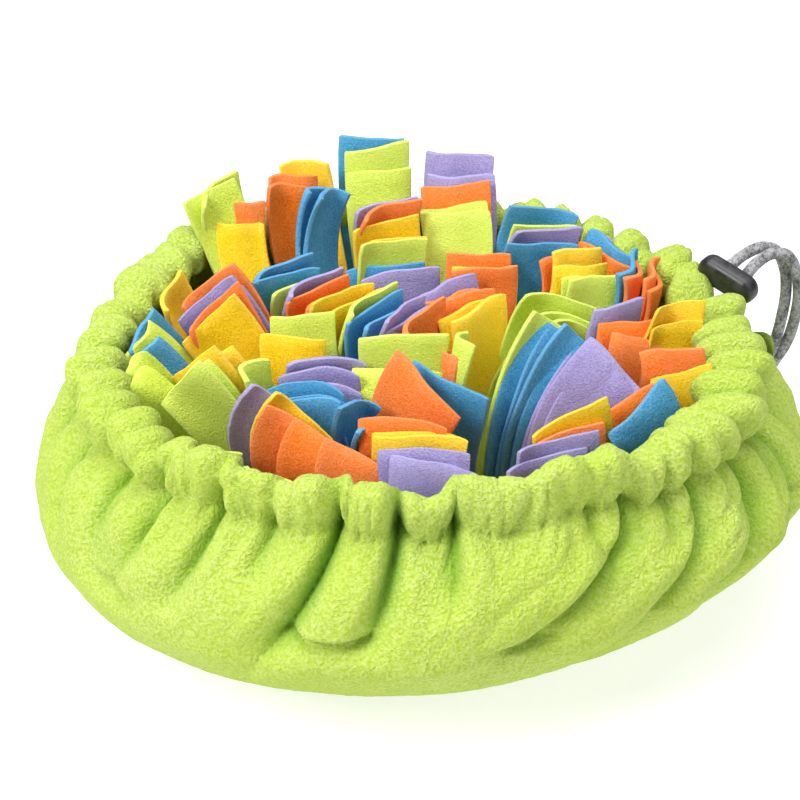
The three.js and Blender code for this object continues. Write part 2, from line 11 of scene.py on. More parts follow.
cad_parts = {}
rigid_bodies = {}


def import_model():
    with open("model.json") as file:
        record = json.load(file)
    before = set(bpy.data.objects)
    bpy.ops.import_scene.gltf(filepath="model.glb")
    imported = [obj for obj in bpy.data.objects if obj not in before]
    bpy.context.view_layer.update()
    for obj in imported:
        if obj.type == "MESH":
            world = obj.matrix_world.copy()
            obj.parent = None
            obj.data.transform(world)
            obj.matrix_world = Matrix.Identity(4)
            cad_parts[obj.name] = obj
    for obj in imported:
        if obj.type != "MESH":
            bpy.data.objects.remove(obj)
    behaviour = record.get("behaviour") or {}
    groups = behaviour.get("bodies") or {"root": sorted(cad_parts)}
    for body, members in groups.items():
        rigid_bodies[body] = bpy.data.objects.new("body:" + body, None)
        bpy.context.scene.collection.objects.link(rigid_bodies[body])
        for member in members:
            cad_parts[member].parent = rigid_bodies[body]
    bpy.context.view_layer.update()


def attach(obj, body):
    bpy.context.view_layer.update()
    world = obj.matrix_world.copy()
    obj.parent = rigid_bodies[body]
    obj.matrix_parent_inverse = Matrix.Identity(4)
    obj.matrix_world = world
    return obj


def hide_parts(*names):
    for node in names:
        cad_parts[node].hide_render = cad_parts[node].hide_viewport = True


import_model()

bl_info = {
    "name": "Fleece snuffle bag",
    "version": (1, 0, 0),
    "blender": (4, 5, 0),
    "location": "View3D > Sidebar > Snuffle bag",
    "description": "Dresses the packed snuffle bag: bag cloth, flaps, drawcord, cord lock and stage",
    "category": "Object",
}

MM = 0.001
BODY = "root"
MERGE_WITHIN = 0.00001

# The bag, in millimetres and degrees. Bearings run round from the right, and a row of twelve values has one
# every 30 degrees. The cloth's thickness, the hem's height, and how far it stands out and in from the rim
CLOTH = 3.0
HEM = 23.0
HEM_OUT = np.array([11.0, 9, 8.6, 8.6, 8.6, 8.6, 10, 9.5, 8.6, 8.6, 8.6, 11])
HEM_IN = np.array([22.0, 17, 12, 10, 11, 16, 16, 18, 10, 8.5, 10, 19])
# How square the hem's roll is, how far the neck under it stands out, and how full the wall is below the neck
HEM_SQUARE = 0.7
NECK_OUT = 7.4
SHOULDER = 2.6
# The share of the cloth's thickness that shows sideways and downwards where the wall slopes in to the neck
NECK_SLOPE = 0.7
# The dent of the drawcord's seam, and how far down the upper wall it shows
SEAM_DEEP, SEAM_WIDE = 0.8, 0.06
# For each side its foot's radius, how round its lower wall is, its belly's radius and height, and its rim's
SIDES = np.array([
    (110, 0.50, 186, 60, 152, 118),
    (112, 0.50, 183, 57, 152, 120),
    (112, 0.50, 181, 54, 149, 123),
    (112, 0.50, 180, 53, 147, 124),
    (116, 0.60, 180, 52, 149, 125),
    (126, 0.75, 182, 50, 151, 125),
    (140, 0.95, 183, 47, 153, 117),
    (128, 0.70, 184, 48, 152, 118),
    (115, 0.50, 182, 51, 147, 123),
    (102, 0.50, 177, 56, 145, 126),
    (97, 0.50, 176, 61, 146, 125),
    (101, 0.50, 184, 62, 150, 121),
])
FOOT, FULL, BELLY, BELLY_UP, RIM, RIM_UP = range(6)

# The way down the wall is 0 at the drawn line under the hem, 1 at the belly and 2 at the foot
AT_BELLY, AT_FOOT = 1, 2

# Gathers: bearing, half width, depth, how far down they reach, and how far they drift on the way to the belly
FOLDS = np.array([
    (184, 3.8, 10, 0.85, 9),
    (199, 3.8, 11, 0.85, 8),
    (213, 3.6, 11, 0.85, 4),
    (225, 3.4, 11, 0.90, -6),
    (236, 2.8, 14, 0.80, -6),
    (245, 2.6, 8, 0.40, -2),
    (256, 2.8, 17, 1.15, -9),
    (265.5, 2.6, 17, 0.90, -5),
    (275, 2.6, 13, 0.55, -2),
    (297, 2.4, 7, 0.35, -2),
    (304, 5.4, 12, 1.25, -23),
    (312, 2.6, 8, 0.45, -8),
    (318, 4.4, 11, 1.60, -14),
    (325, 2.6, 7, 0.60, -9),
    (331, 4.4, 12, 1.65, -9),
    (338, 2.6, 8, 0.65, -10),
    (343, 4.2, 11, 1.60, -5),
    (348, 2.6, 6, 0.65, -4),
    (353, 4.0, 9, 1.50, -3),
    (359, 2.6, 6, 0.60, -2),
    (5, 3.6, 11, 0.90, -4),
    (40, 3.8, 12, 1.00, 4),
    (52, 3.6, 10, 0.80, 2),
    (63, 4.0, 13, 1.10, -3),
    (76, 3.6, 10, 0.60, 0),
    (88, 3.8, 12, 1.00, 5),
    (99, 3.6, 10, 0.80, 3),
    (111, 4.0, 13, 1.10, 6),
    (123, 3.6, 9, 0.60, 0),
    (136, 4.0, 13, 1.00, -4),
    (150, 3.8, 10, 0.80, 2),
    (163, 4.0, 12, 1.00, -3),
    (174, 3.6, 10, 0.70, 5),
])
# A gather's width at the drawn line and at the belly, how far the cloth closes over it, how much deeper it
# gets and how soon, how it sweeps, fades and leans to one side, and the round and sharp parts of its section
FOLD_NARROW, FOLD_BROAD = 0.5, 1.35
FOLD_CLOSE = 0.22
FOLD_DEEPEN, FOLD_DEEPEN_BY = 1.35, 0.4
FOLD_SWEEP = 1.6
FOLD_FADE = 0.75
FOLD_LEAN, FOLD_LEAN_EASE = 0.45, 2
FOLD_ROUND, FOLD_SHARP, FOLD_POINT = 0.7, 0.45, 3.2

# Wrinkles between the gathers: how fine they are, their depth at the drawn line and how far down they fade,
# then how fast they change on the way down, how wide and sharp they are, and how they sweep round
WRINKLES = ((9.0, 3.6, 0.55), (22.0, 2.4, 0.25))
WRINKLE_CHANGE, WRINKLE_WIDE, WRINKLE_SHARP = 0.14, 0.28, 1.4
WRINKLE_SWEEP = np.array([-6, 0, 2, 3, 3, 0, 8, 5, -8, -8, -22, -25], dtype=float)

# Short folds that lie across the wall: bearing, half length, place on the way down, half height and depth
CROSS_FOLDS = np.array([
    (256.5, 6.0, 0.74, 0.06, 9),
    (284, 6.0, 0.90, 0.08, 4),
    (318, 5.0, 0.95, 0.08, 4),
    (338, 5.0, 0.80, 0.08, 4),
    (222, 5.0, 0.80, 0.08, 4),
    (204, 4.0, 0.66, 0.08, 3),
    (48, 5.0, 0.80, 0.08, 4),
    (105, 6.0, 0.90, 0.08, 4),
    (156, 5.0, 0.80, 0.08, 4),
])
# How far their ends rise, and how steep they are above and soft below
CROSS_BOW = 0.012
CROSS_STEEP, CROSS_SOFT = 2.2, 0.7

# The hem: how many ruffles it has, how they drift, slant and snake in and out, how sharp the creases between
# them are, how round their backs are, their middle level, and how deep they are round the bag
RUFFLES = 43
RUFFLE_DRIFT = ((3, 40, 60), (7, 0, 55), (11, 70, 40))
RUFFLE_SLANT = 0.4
RUFFLE_SNAKE = 0.3
RUFFLE_CREASE, RUFFLE_BACK, RUFFLE_LEVEL = 0.002, 0.25, 0.8
RUFFLE_DEPTH = np.array([10.5, 9.5, 7.0, 4.0, 1.6, 1.4, 7.5, 9.5, 4.0, 1.2, 2.0, 10.0])
# How strongly the gathers pinch the hem: round the bag, at its foot, higher and on top, and how soon it eases
HEM_PINCH = np.array([0.3, 0.4, 0.5, 0.6, 0.6, 0.5, 0.4, 0.5, 1.0, 1.0, 0.8, 0.4])
PINCH_LOW, PINCH_HIGH, PINCH_TOP = 0.95, 0.5, 0.3
PINCH_EASE = 1.6
# Where above the drawn line the hem's wrinkles are read, and how much of the gathers' closing it keeps
HEM_WAY = -0.25
HEM_CLOSE = 0.6
# Where the hem stands above or under its even height: bearing, half width and rise
HEM_LOBES = np.array([
    (20, 5.0, -5.5),
    (28, 4.0, 4.5),
    (60, 6.0, 3.0),
    (86, 5.0, -3.0),
    (110, 7.0, 3.5),
    (140, 8.0, 4.0),
    (165, 5.0, -3.0),
    (185, 6.0, 2.0),
    (233, 8.0, 4.5),
    (246.5, 2.5, -3.5),
    (255, 6.0, 2.0),
    (270.5, 2.6, -6.5),
    (276.5, 4.0, 4.5),
    (292, 5.0, 9.0),
    (302, 4.5, 6.5),
    (309, 3.0, -4.0),
    (318, 6.0, 4.0),
])
# The share of that rise at the hem's foot
LIFT_LOW = 0.6

# The cloth's grid: columns round it, rings of the floor as shares of the foot, rows of the lower wall, upper
# wall and hem, the angles that the hem's roll runs between, and rows of the walls inside
COLUMNS = 780
FLOOR_RINGS, FLOOR_RINGS_INSIDE = (0.0, 0.5, 0.85), (0.5, 0.0)
LOWER_ROWS, UPPER_ROWS, HEM_ROWS = 46, 32, 28
HEM_FROM, HEM_TO = -48, 228
UPPER_ROWS_INSIDE, LOWER_ROWS_INSIDE = 8, 7
# A fold this deep gets the full painted shade of the creases, and how much of that shade the hem's pinches
# and ruffles give
CREASE_SHADE_FULL = 16.0
CREASE_SHADE_PINCH, CREASE_SHADE_RUFFLE = 0.4, 1.2
# Soft swells of the cloth, in metres: how many a metre and how high, the height where they start, the height
# over which they grow, and the share that goes upwards. Then its nubs' width and its width when flat
SWELLS = ((24, 0.0022), (60, 0.0008))
SWELL_FROM, SWELL_OVER, SWELL_UP = 0.004, 0.02, 0.4
NUB_ACROSS = 0.0045

# Bundles of flaps: name, colours in order, then for the first and the last flap the middle of its top edge,
# measured at the mouth, the bearing that it faces, and after their width its roll and backward tilt
Bundle = namedtuple("Bundle", "name colours x y z end_x end_y end_z facing end_facing "
                    "wide roll end_roll tilt end_tilt")
BUNDLES = tuple(Bundle(*row) for row in (
    ("back_left_corner", "gg", -98, 93, 146, -97, 90, 148, -62, -76, 28, 18, 16, 4, 14),
    ("back_left_peak", "yoo", -55, 119, 144, -63, 109, 143, -84, -64, 24, 8, -10, 4, 0),
    ("back_left_yellow", "oy", -81, 87, 138, -83, 82, 133, -82, -82, 22, -12, -10, 8, 10),
    ("back_left_blue", "bb", -49, 96, 150, -45, 93, 146, -26, -30, 28, -8, -10, -16, -18),
    ("back_tall", "bgg", -21, 128, 156, -19, 118, 143, -92, -84, 31, -8, 6, 0, 2),
    ("back_middle", "poyyg", -21, 106, 138, -15, 87, 124, -78, -78, 34, 4, 0, 6, 10),
    ("back_middle_front", "bp", -16, 79, 119, -11, 72, 115, -78, -78, 36, 3, 3, 10, 14),
    ("back_right", "ppogg", 20, 121, 150, 18, 101, 126, -93, -88, 33, 3, 6, 2, 8),
    ("far_right", "bgpb", 61, 112, 130, 62, 94, 121, -100, -100, 34, -8, -8, 2, 6),
    ("far_right_corner", "pbo", 97, 95, 121, 92, 86, 118, -130, -130, 28, -12, -12, 4, 4),
    ("middle_left", "bbgpooyygbbppo", -75, 69, 119, -7, 27, 111, -66, -50, 36, 2, 4, 6, 14),
    ("middle_back", "oyo", 30, 85, 118, 32, 75, 114, -78, -78, 30, 4, 4, 8, 8),
    ("middle_right", "pooyy", 16, 58, 115, 28, 31, 112, -56, -56, 28, 6, 8, 6, 10),
    ("right_green", "ggg", 67, 46, 121, 65, 32, 115, -94, -84, 36, -10, -22, 8, 12),
    ("right_back_stack", "oyygg", 74, 80, 121, 86, 60, 115, -58, -74, 26, 4, -6, 4, 10),
    ("right_back_rim", "booo", 108, 62, 123, 122, 56, 119, -24, -10, 26, 0, 0, -12, -14),
    ("right_fan", "gbbbbppp", 64, 2, 116, 99, -25, 107, -54, -74, 38, -46, -58, 6, 16),
    ("right_purple", "poo", 94, 24, 117, 105, 8, 113, -72, -80, 26, -6, -14, 8, 16),
    ("right_yellow", "yy", 118, 33, 117, 122, 27, 113, -100, -92, 24, 14, 8, 20, 24),
    ("right_orange", "oy", 114, -12, 112, 121, -22, 109, -86, -86, 27, 16, 20, 14, 20),
    ("right_front", "ob", 94, -46, 108, 98, -56, 107, -80, -80, 32, 26, 40, 10, 16),
    ("front_right", "yopp", 66, -54, 106, 56, -80, 99, -84, -84, 36, 16, 8, 12, 18),
    ("centre_green", "gg", -9, 1, 113, -12, -16, 107, -94, -94, 38, 0, 4, 8, 24),
    ("centre_edge", "og", 17, 0, 109, 22, 2, 113, -20, -20, 22, -20, -20, -8, -8),
    ("centre_peak", "bo", 15, -30, 111, 2, -42, 111, -98, -100, 38, -18, -34, 8, 12),
    ("front_middle", "oyypp", -8, -60, 107, 5, -94, 108, -92, -92, 37, 2, -8, 10, 24),
    ("front_left_purple", "py", -64, -50, 112, -52, -56, 111, -92, -92, 32, -34, -46, 20, 16),
    ("front_left", "ooo", -54, -68, 105, -29, -86, 104, -88, -76, 33, -38, -30, 14, 18),
    ("middle_front_left", "pppbbb", -46, 2, 113, -55, -32, 106, -84, -112, 34, -8, 16, 6, 18),
    ("middle_front_edge", "bb", -36, -36, 110, -30, -47, 106, -28, -28, 24, -12, -12, -6, -6),
    ("middle_left_green", "gy", -56, 21, 114, -61, 10, 111, -92, -92, 28, 0, -8, 12, 12),
    ("left", "oppoy", -105.5, 47, 117, -102, 24, 114, -86, -86, 33, 42, 36, 12, 20),
    ("left_front", "yygg", -103, -10, 113, -110, -38, 111, -84, -84, 26, 36, 42, 14, 22),
    ("left_front_edge", "g", -78, -25, 113, -78, -25, 113, -14, -14, 17, 14, 14, 0, 0),
    ("left_rim_yellow", "y", -128, 48, 118, -128, 48, 118, -36, -36, 26, 26, 26, 6, 6),
    ("left_rim_blue", "bgb", -130, 3, 116, -132, -9, 114, -50, -50, 22, 40, 40, 8, 8),
    ("left_rim_green", "gg", -135.5, -22, 115, -134, -31, 114, -60, -66, 17, 44, 48, 10, 14),
    ("front_left_rim", "gbo", -100, -74, 97, -93, -88, 93, -66, -66, 28, -20, -20, 10, 10),
    ("front_rim_middle", "byg", -2, -121, 96, -2, -130, 92, -90, -90, 30, 4, 4, 10, 10),
    ("front_rim_right", "ogb", 36, -112, 98, 39, -121, 94, -76, -76, 30, -6, -6, 10, 10),
    ("front_rim_left", "pby", -37, -110, 98, -40, -119, 94, -104, -104, 30, 6, 6, 10, 10),
    ("front_rim_corner", "go", -72, -100, 97, -75, -104, 94, -120, -120, 26, -4, -4, 8, 8),
))
# Bundles whose flaps roll up across their width, and how strongly, as one over the radius
ROLLED = {
    "back_left_blue": 0.085, "back_left_peak": 0.06, "left_front_edge": 0.09, "middle_front_edge": 0.05,
    "centre_edge": 0.07, "middle_left": -0.012, "left": 0.008, "middle_front_left": 0.028,
}
# Bundles whose flaps hang over at the top, how far in millimetres, and the shares by which their middle sinks
# and their sides sink further
LIMP = {
    "middle_front_left": 15.0, "middle_front_edge": 8.0, "left_rim_green": 8.0, "right_green": 8.0,
    "back_middle_front": 4.0, "front_middle": 4.0, "right_yellow": 5.0,
}
SINK_MIDDLE, SINK_SIDES = 0.3, 0.3
# Each letter's flap colour, and how strongly its fibres differ
FLAP_FLEECES = {
    "g": ("green", 0.07), "o": ("orange", 0.07), "y": ("yellow", 0.05),
    "b": ("blue", 0.08), "p": ("purple", 0.1),
}
# The flap blank: its length and width, its cells across and up, which are shorter towards its free end, the
# share of its thickness that its cut edges round off, and how far in from them the painted edge sheen reaches
FLAP_LONG = 110.0
FLAP_WIDE = 34.0
FLAP_CELLS_ACROSS, FLAP_CELLS_UP = 10, 14
FLAP_CELLS_EASE = 0.7
EDGE_ROUND, EDGE_SEGMENTS = 0.26, 2
EDGE_SHEEN_REACH = 1.3
# A flap's root height, how much fuller than its bundle's width it is cut, how much narrower and nearer to the
# middle it is at the floor, and the height of the mouth that it is measured from
FLAP_ROOT = 4.3
FLAP_FULL = 1.14
FLOOR_SPREAD = 0.62
SPREAD_HEIGHT = 115.0
# A flap is free to bend above this share of its height, gently at first
FREE_FROM, FREE_EASE = 0.35, 1.6
# The tightest curl's radius, the most that a flap twists, bends at a corner, droops and waves, and its waves
# across and up
CURL_LEAST = 24.0
TWIST_MOST = math.radians(32)
CORNER_MOST = 8.0
DROOP_MOST = 9.0
WAVE_HIGH, WAVE_ACROSS, WAVE_UP, WAVE_START = 2.0, 6, 4, 6
# How much alike the flaps of one bundle curl, bend and twist
CURL_ALIKE, BEND_ALIKE, TWIST_ALIKE = 0.82, 0.8, 0.75
# The cut: how far its corners round off and how tightly, its top's slant and nicks, and its ragged sides
CORNER_SOFT, CORNER_ACROSS, CORNER_UP = 0.5, 10, 30
SLANT_MOST = 4.0
NICK_DEEP, NICK_WAVES = 0.2, 13
RAGGED_DEEP, RAGGED_WAVES, RAGGED_OUT = 0.25, 15, 3
CUT_START = 9
# The most that a flap's height, place, roll and tilt differ from those of its row
HEIGHT_SCATTER, SIDE_SCATTER, ROLL_SCATTER, TILT_SCATTER = 4.0, 2.0, 6.0, 5.0
# What is scattered, each with its own run of values, and the steps from number to number and run to run
(VARY_HEIGHT, VARY_SIDE, VARY_ROLL, VARY_TILT, VARY_CURL, VARY_CORNER, VARY_CORNER_SIDE, VARY_WAVE,
 VARY_SLANT, VARY_NICKS, VARY_RAGGED, VARY_TWIST, VARY_DROOP, VARY_DYE) = range(1, 15)
NUMBER_STEP, RUN_STEP = 0.618034, 0.754878
# The strip at a bundle's roots: underside and top, how far it runs past the flaps, and how much wider it is
STRIP_LOW, STRIP_TOP = 3.3, 5.3
STRIP_PAST, STRIP_WIDER = 2.0, 1.2

# The drawcord's route: a point between the two cords, and the way from it to the front one
CORD_ROUTE = np.array([
    (155.95, 61.95, 118.7, 3.6, -3.24, -1.2),
    (165, 71, 122.5, 2.8, -2.9, -0.8),
    (174, 78, 123.5, 2.3, -2.8, -0.4),
    (183, 84, 119, 2.3, -2.7, 0),
    (189, 88, 108, 2.5, -2.4, 0),
    (192, 91, 94, 2.9, -1.8, 0),
    (192, 93, 79, 3.3, -0.7, 0),
    (190, 95, 63, 3.3, 0.6, -0.3),
    (185, 98, 47, 2.8, 1.9, -0.4),
    (179, 103, 31, 2.3, 2.5, -0.2),
    (171, 110, 17, 2.2, 2.6, 0),
    (160, 119, 7.5, 2.1, 2.6, 0),
    (147, 130, 3.8, 2.2, 2.6, 0),
    (133, 142, 3.2, 2.1, 2.6, 0),
    (118, 153, 3.2, 1.9, 2.8, 0),
    (102, 163, 3.4, 1.8, 2.9, 0),
])
CORD_RINGS = 200
CORD_SIDES = 20
# The knot: its half size, the share of that its middle is above the floor, its depth and its points
KNOT_OUT = 9.3
KNOT_UP = 1.02
KNOT_DEEP = 1.4
KNOT_POINTS = 120
# The lock: its size, facets, the middle share of its round that is drawn out, and its rounded edge
LOCK_LONG, LOCK_WIDE, LOCK_THICK = 33.0, 15.0, 10.0
LOCK_FACETS = 64
LOCK_SEAM = 0.06
LOCK_ROUND, LOCK_ROUND_STEPS = 3.6, 6
LOCK_SMOOTH = math.radians(40)
# Its two holes: how far each is from the middle, their radius, depth, middle height and facets
HOLE_OUT, HOLE_RADIUS, HOLE_DEEP, HOLE_UP, HOLE_FACETS = 5.0, 3.6, 14.0, 3.5, 32
# Its place, the bearing that it faces, and how far it looks up and is tipped
LOCK_AT = (152, 58, 117.45)
LOCK_BEARING, LOCK_RISE, LOCK_TIP = 45.0, 12.0, 14.0

# Finishes: lumps a metre of each grain, and the share of one grain in a mix of two
BAG_NUBS, BAG_FIBRES, BAG_CLOUDS, BAG_NUB_SHARE = 700, 1900, 22, 0.7
FLAP_FIBRES, FLAP_TUFTS, FLAP_CLOUDS, FLAP_FIBRE_SHARE, FLAP_DYE_SHARE = 1500, 900, 60, 0.55, 0.5
CORD_FLECKS, CORD_RUNS, CORD_FLECK_SHARE = 620, 190, 0.55
LOCK_GRAIN, LOCK_WEAR = 2600, 170
FLOOR_CLOUDS = 3
FLEECE = {"Roughness": 0.95, "Specular IOR Level": 0.12, "Sheen Roughness": 0.5}
PALEST = 0.95

# The camera stands in front, looks along +Y and down on the bag, as in the photograph. In metres
VIEW_TARGET = (-0.0099, 0.0, 0.082)
VIEW_DISTANCE = 0.9
VIEW_ELEVATION = math.radians(30)
VIEW_LENS, VIEW_SENSOR = 85.05, 36
FLOOR_ACROSS = 30
# Lights, in metres: name, place, size across and share of the key light's power. They all point at the bag
LIGHTS = (
    ("key", (-1.1, -0.75, 1.25), 0.9, 1.0),
    ("fill", (1.1, -0.9, 0.9), 1.4, 0.2),
    ("overhead", (0.1, 0.0, 1.5), 1.4, 0.75),
)
LIT_AT = (0, 0, 0.08)


def linear(red, green, blue):
    """A screen colour, 0 to 255 a channel, as the linear colour that shaders use."""
    shares = np.array([red, green, blue]) / 255
    values = np.where(shares <= 0.04045, shares / 12.92, ((shares + 0.055) / 1.055) ** 2.4)
    return tuple(float(value) for value in values)


def colour_setting(name, description, colour):
    """A colour that can be changed in the panel."""
    return bpy.props.FloatVectorProperty(
        name=name, description=description, default=colour, size=3, min=0, max=1, subtype="COLOR")


class ClothLooks(bpy.types.PropertyGroup):
    """Sizes and colours of the bag's cloth."""

    colour: colour_setting("Fleece", "Colour of the bag's fleece", linear(189, 207, 92))
    # Painted shade: the darker, more saturated colour of the fleece between its nubs
    shaded_pile: colour_setting("Pile", "Colour of the fleece between its nubs", linear(163, 191, 52))
    # Painted shade: the darker, greener colour that the fleece is given deep in its folds
    crease: colour_setting("Creases", "Colour of the fleece deep in its folds", linear(104, 158, 30))
    nub: bpy.props.FloatProperty(
        name="Nub height", description="How far the fleece's nubs stand up",
        default=0.0006, min=0, max=0.004, unit="LENGTH", subtype="DISTANCE")


class FlapLooks(bpy.types.PropertyGroup):
    """Sizes and colours of the flaps."""

    thickness: bpy.props.FloatProperty(
        name="Thickness", description="Thickness of a flap",
        default=0.0026, min=0.001, max=0.004, unit="LENGTH", subtype="DISTANCE")
    green: colour_setting("Green", "Colour of the green flaps", linear(218, 238, 84))
    orange: colour_setting("Orange", "Colour of the orange flaps", linear(255, 128, 24))
    yellow: colour_setting("Yellow", "Colour of the yellow flaps", linear(255, 210, 0))
    blue: colour_setting("Blue", "Colour of the blue flaps", linear(62, 154, 204))
    purple: colour_setting("Purple", "Colour of the purple flaps", linear(160, 149, 205))


class CordLooks(bpy.types.PropertyGroup):
    """Sizes and colours of the drawcord and its lock."""

    diameter: bpy.props.FloatProperty(
        name="Diameter", description="Diameter of the drawcord",
        default=0.006, min=0.003, max=0.01, unit="LENGTH", subtype="DISTANCE")
    light: colour_setting("Light yarn", "Colour of the cord's light yarn", linear(196, 196, 198))
    dark: colour_setting("Dark yarn", "Colour of the cord's dark yarn", linear(74, 74, 78))
    plastic: colour_setting("Lock", "Colour of the cord lock's plastic", linear(34, 34, 37))


class StageLooks(bpy.types.PropertyGroup):
    """Floor and light."""

    floor: colour_setting("Floor", "Colour of the floor", (0.5, 0.5, 0.5))
    key: bpy.props.FloatProperty(
        name="Key light", description="Power of the large light at the upper left",
        default=27.6, min=0, max=100, unit="POWER")
    sky: bpy.props.FloatProperty(
        name="Sky", description="Strength of the even light from all round",
        default=0.20, min=0, max=3, subtype="FACTOR")


class Wire:
    """A socket of a finish's node tree. Arithmetic on it adds Math nodes."""

    def __init__(self, finish, socket):
        self.finish = finish
        self.socket = socket

    def math(self, operation, first, second):
        return self.finish.node("ShaderNodeMath", {"operation": operation}, {0: first, 1: second})

    def __add__(self, other):
        return self.math("ADD", self, other)

    __radd__ = __add__

    def __mul__(self, other):
        return self.math("MULTIPLY", self, other)

    __rmul__ = __mul__


class Finish:
    """A procedural material that is built one node at a time."""

    def __init__(self, name):
        self.material = bpy.data.materials.new(name)
        self.material.use_nodes = True
        self.tree = self.material.node_tree
        self.tree.nodes.clear()

    def node(self, kind, settings, sockets, output=0):
        """A node with its settings, then its sockets' values or links. Gives one of its outputs."""
        made = self.tree.nodes.new(kind)
        for name, value in settings.items():
            setattr(made, name, value)
        for name, value in sockets.items():
            if isinstance(value, Wire):
                self.tree.links.new(value.socket, made.inputs[name])
            else:
                made.inputs[name].default_value = value
        return Wire(self, made.outputs[output]) if made.outputs else None

    def objects(self):
        return self.node("ShaderNodeTexCoord", {}, {}, "Object")

    def attribute(self, name):
        return self.node("ShaderNodeAttribute", {"attribute_name": name}, {}, "Fac")

    def noise(self, place, scale, detail, roughness, distortion=0.0):
        sockets = {"Vector": place, "Scale": scale, "Detail": detail,
                   "Roughness": roughness, "Distortion": distortion}
        return self.node("ShaderNodeTexNoise", {"noise_dimensions": "3D"}, sockets)

    def spread(self, value, low, high):
        """A value from low to high, spread to between 0 and 1 with soft ends."""
        settings = {"interpolation_type": "SMOOTHSTEP"}
        return self.node("ShaderNodeMapRange", settings, {0: value, 1: low, 2: high, 3: 0.0, 4: 1.0})

    def blend(self, share, first, second):
        """A colour between two colours."""
        first = first if isinstance(first, Wire) else (*first, 1)
        second = second if isinstance(second, Wire) else (*second, 1)
        return self.node("ShaderNodeMix", {"data_type": "RGBA"}, {0: share, 6: first, 7: second}, 2)

    def bump(self, height, strength, distance):
        return self.node("ShaderNodeBump", {}, {"Height": height, "Strength": strength, "Distance": distance})

    def close(self, sockets):
        """The surface shader with those sockets, joined to the output."""
        shader = self.node("ShaderNodeBsdfPrincipled", {}, sockets)
        self.node("ShaderNodeOutputMaterial", {}, {"Surface": shader})
        return self.material


def shade(colour, factor):
    """A colour made darker, or lighter up to full."""
    return tuple(min(1.0, value * factor) for value in colour)


def paler(colour, share):
    """A colour drawn towards the palest grey."""
    return tuple(value + (PALEST - value) * share for value in colour)


def bag_fleece(looks):
    """Nubby brushed fleece of the bag: painted shade between its nubs, painted highlight on them, greener
    painted shade in its folds.
    """
    finish = Finish("lime_fleece_nubby")
    place = finish.objects()
    nubs = finish.noise(place, BAG_NUBS, detail=1, roughness=0.4)
    fibres = finish.noise(place, BAG_FIBRES, detail=1, roughness=0.5)
    cloud = finish.noise(place, BAG_CLOUDS, detail=2, roughness=0.5)
    nap = nubs * BAG_NUB_SHARE + fibres * (1 - BAG_NUB_SHARE)
    grain = finish.spread(nap, low=0.28, high=0.72)
    tone = finish.spread(cloud, low=0.3, high=0.7)
    base, shaded_pile = tuple(looks.colour), tuple(looks.shaded_pile)
    # The grain, from the same noise as the bump, makes the fleece darker between its nubs and paler on their
    # tips: painted shade in the hollows and painted highlight on the tips, over the fleece's uneven tone
    quiet = finish.blend(grain, shade(shaded_pile, 1.04), paler(base, 0.04))
    bright = finish.blend(grain, shaded_pile, paler(shade(base, 1.04), 0.1))
    # Painted shade: deep in the folds the colour is drawn towards the darker, greener colour of the creases
    crease = finish.attribute("crease")
    deep = finish.spread(crease, low=0.2, high=0.95) * 0.75
    colour = finish.blend(deep, finish.blend(tone, quiet, bright), tuple(looks.crease))
    return finish.close({
        **FLEECE, "Base Color": colour, "Normal": finish.bump(nap, strength=0.85, distance=0.0022),
        "Sheen Weight": 0.22, "Sheen Tint": (*paler(base, 0.3), 1),
    })


def flap_fleece(name, base, heather):
    """Short brushed fleece of one flap colour, with painted sheen along its edges. Heather is how strongly
    its fibres differ.
    """
    finish = Finish(name + "_flap_fleece_brushed")
    place = finish.objects()
    fibres = finish.noise(place, FLAP_FIBRES, detail=2, roughness=0.5)
    tufts = finish.noise(place, FLAP_TUFTS, detail=2, roughness=0.5)
    cloud = finish.noise(place, FLAP_CLOUDS, detail=2, roughness=0.5)
    nap = fibres * FLAP_FIBRE_SHARE + tufts * (1 - FLAP_FIBRE_SHARE)
    grain = finish.spread(nap, low=0.36, high=0.64)
    dye = finish.attribute("dye")
    tone = finish.spread(cloud * (1 - FLAP_DYE_SHARE) + dye * FLAP_DYE_SHARE, low=0.2, high=0.8)
    low = finish.blend(tone, shade(base, 0.82 - heather), shade(base, 1.02 - heather))
    high = finish.blend(tone, paler(base, 0.02), paler(base, 0.07 + heather * 0.6))
    face = finish.blend(grain, low, high)
    # Painted sheen: the flap is drawn paler near its edges, where its fuzz would catch the light
    colour = finish.blend(finish.attribute("cut_edge") * 0.35, face, paler(base, 0.1 + heather))
    return finish.close({
        **FLEECE, "Base Color": colour, "Normal": finish.bump(nap, strength=0.6, distance=0.0018),
        "Sheen Weight": 0.14, "Sheen Tint": (*paler(base, 0.2), 1),
    })


def cord_yarn(looks):
    """Heathered knitted cord."""
    finish = Finish("grey_cord_heathered")
    place = finish.objects()
    flecks = finish.noise(place, CORD_FLECKS, detail=3, roughness=0.7, distortion=1.2)
    runs = finish.noise(place, CORD_RUNS, detail=2, roughness=0.6, distortion=0.6)
    yarns = flecks * CORD_FLECK_SHARE + runs * (1 - CORD_FLECK_SHARE)
    colour = finish.blend(finish.spread(yarns, low=0.36, high=0.64), tuple(looks.dark), tuple(looks.light))
    return finish.close({
        "Base Color": colour, "Normal": finish.bump(flecks, strength=0.8, distance=0.0016),
        "Roughness": 0.9, "Specular IOR Level": 0.2, "Sheen Weight": 0.2, "Sheen Roughness": 0.5,
    })


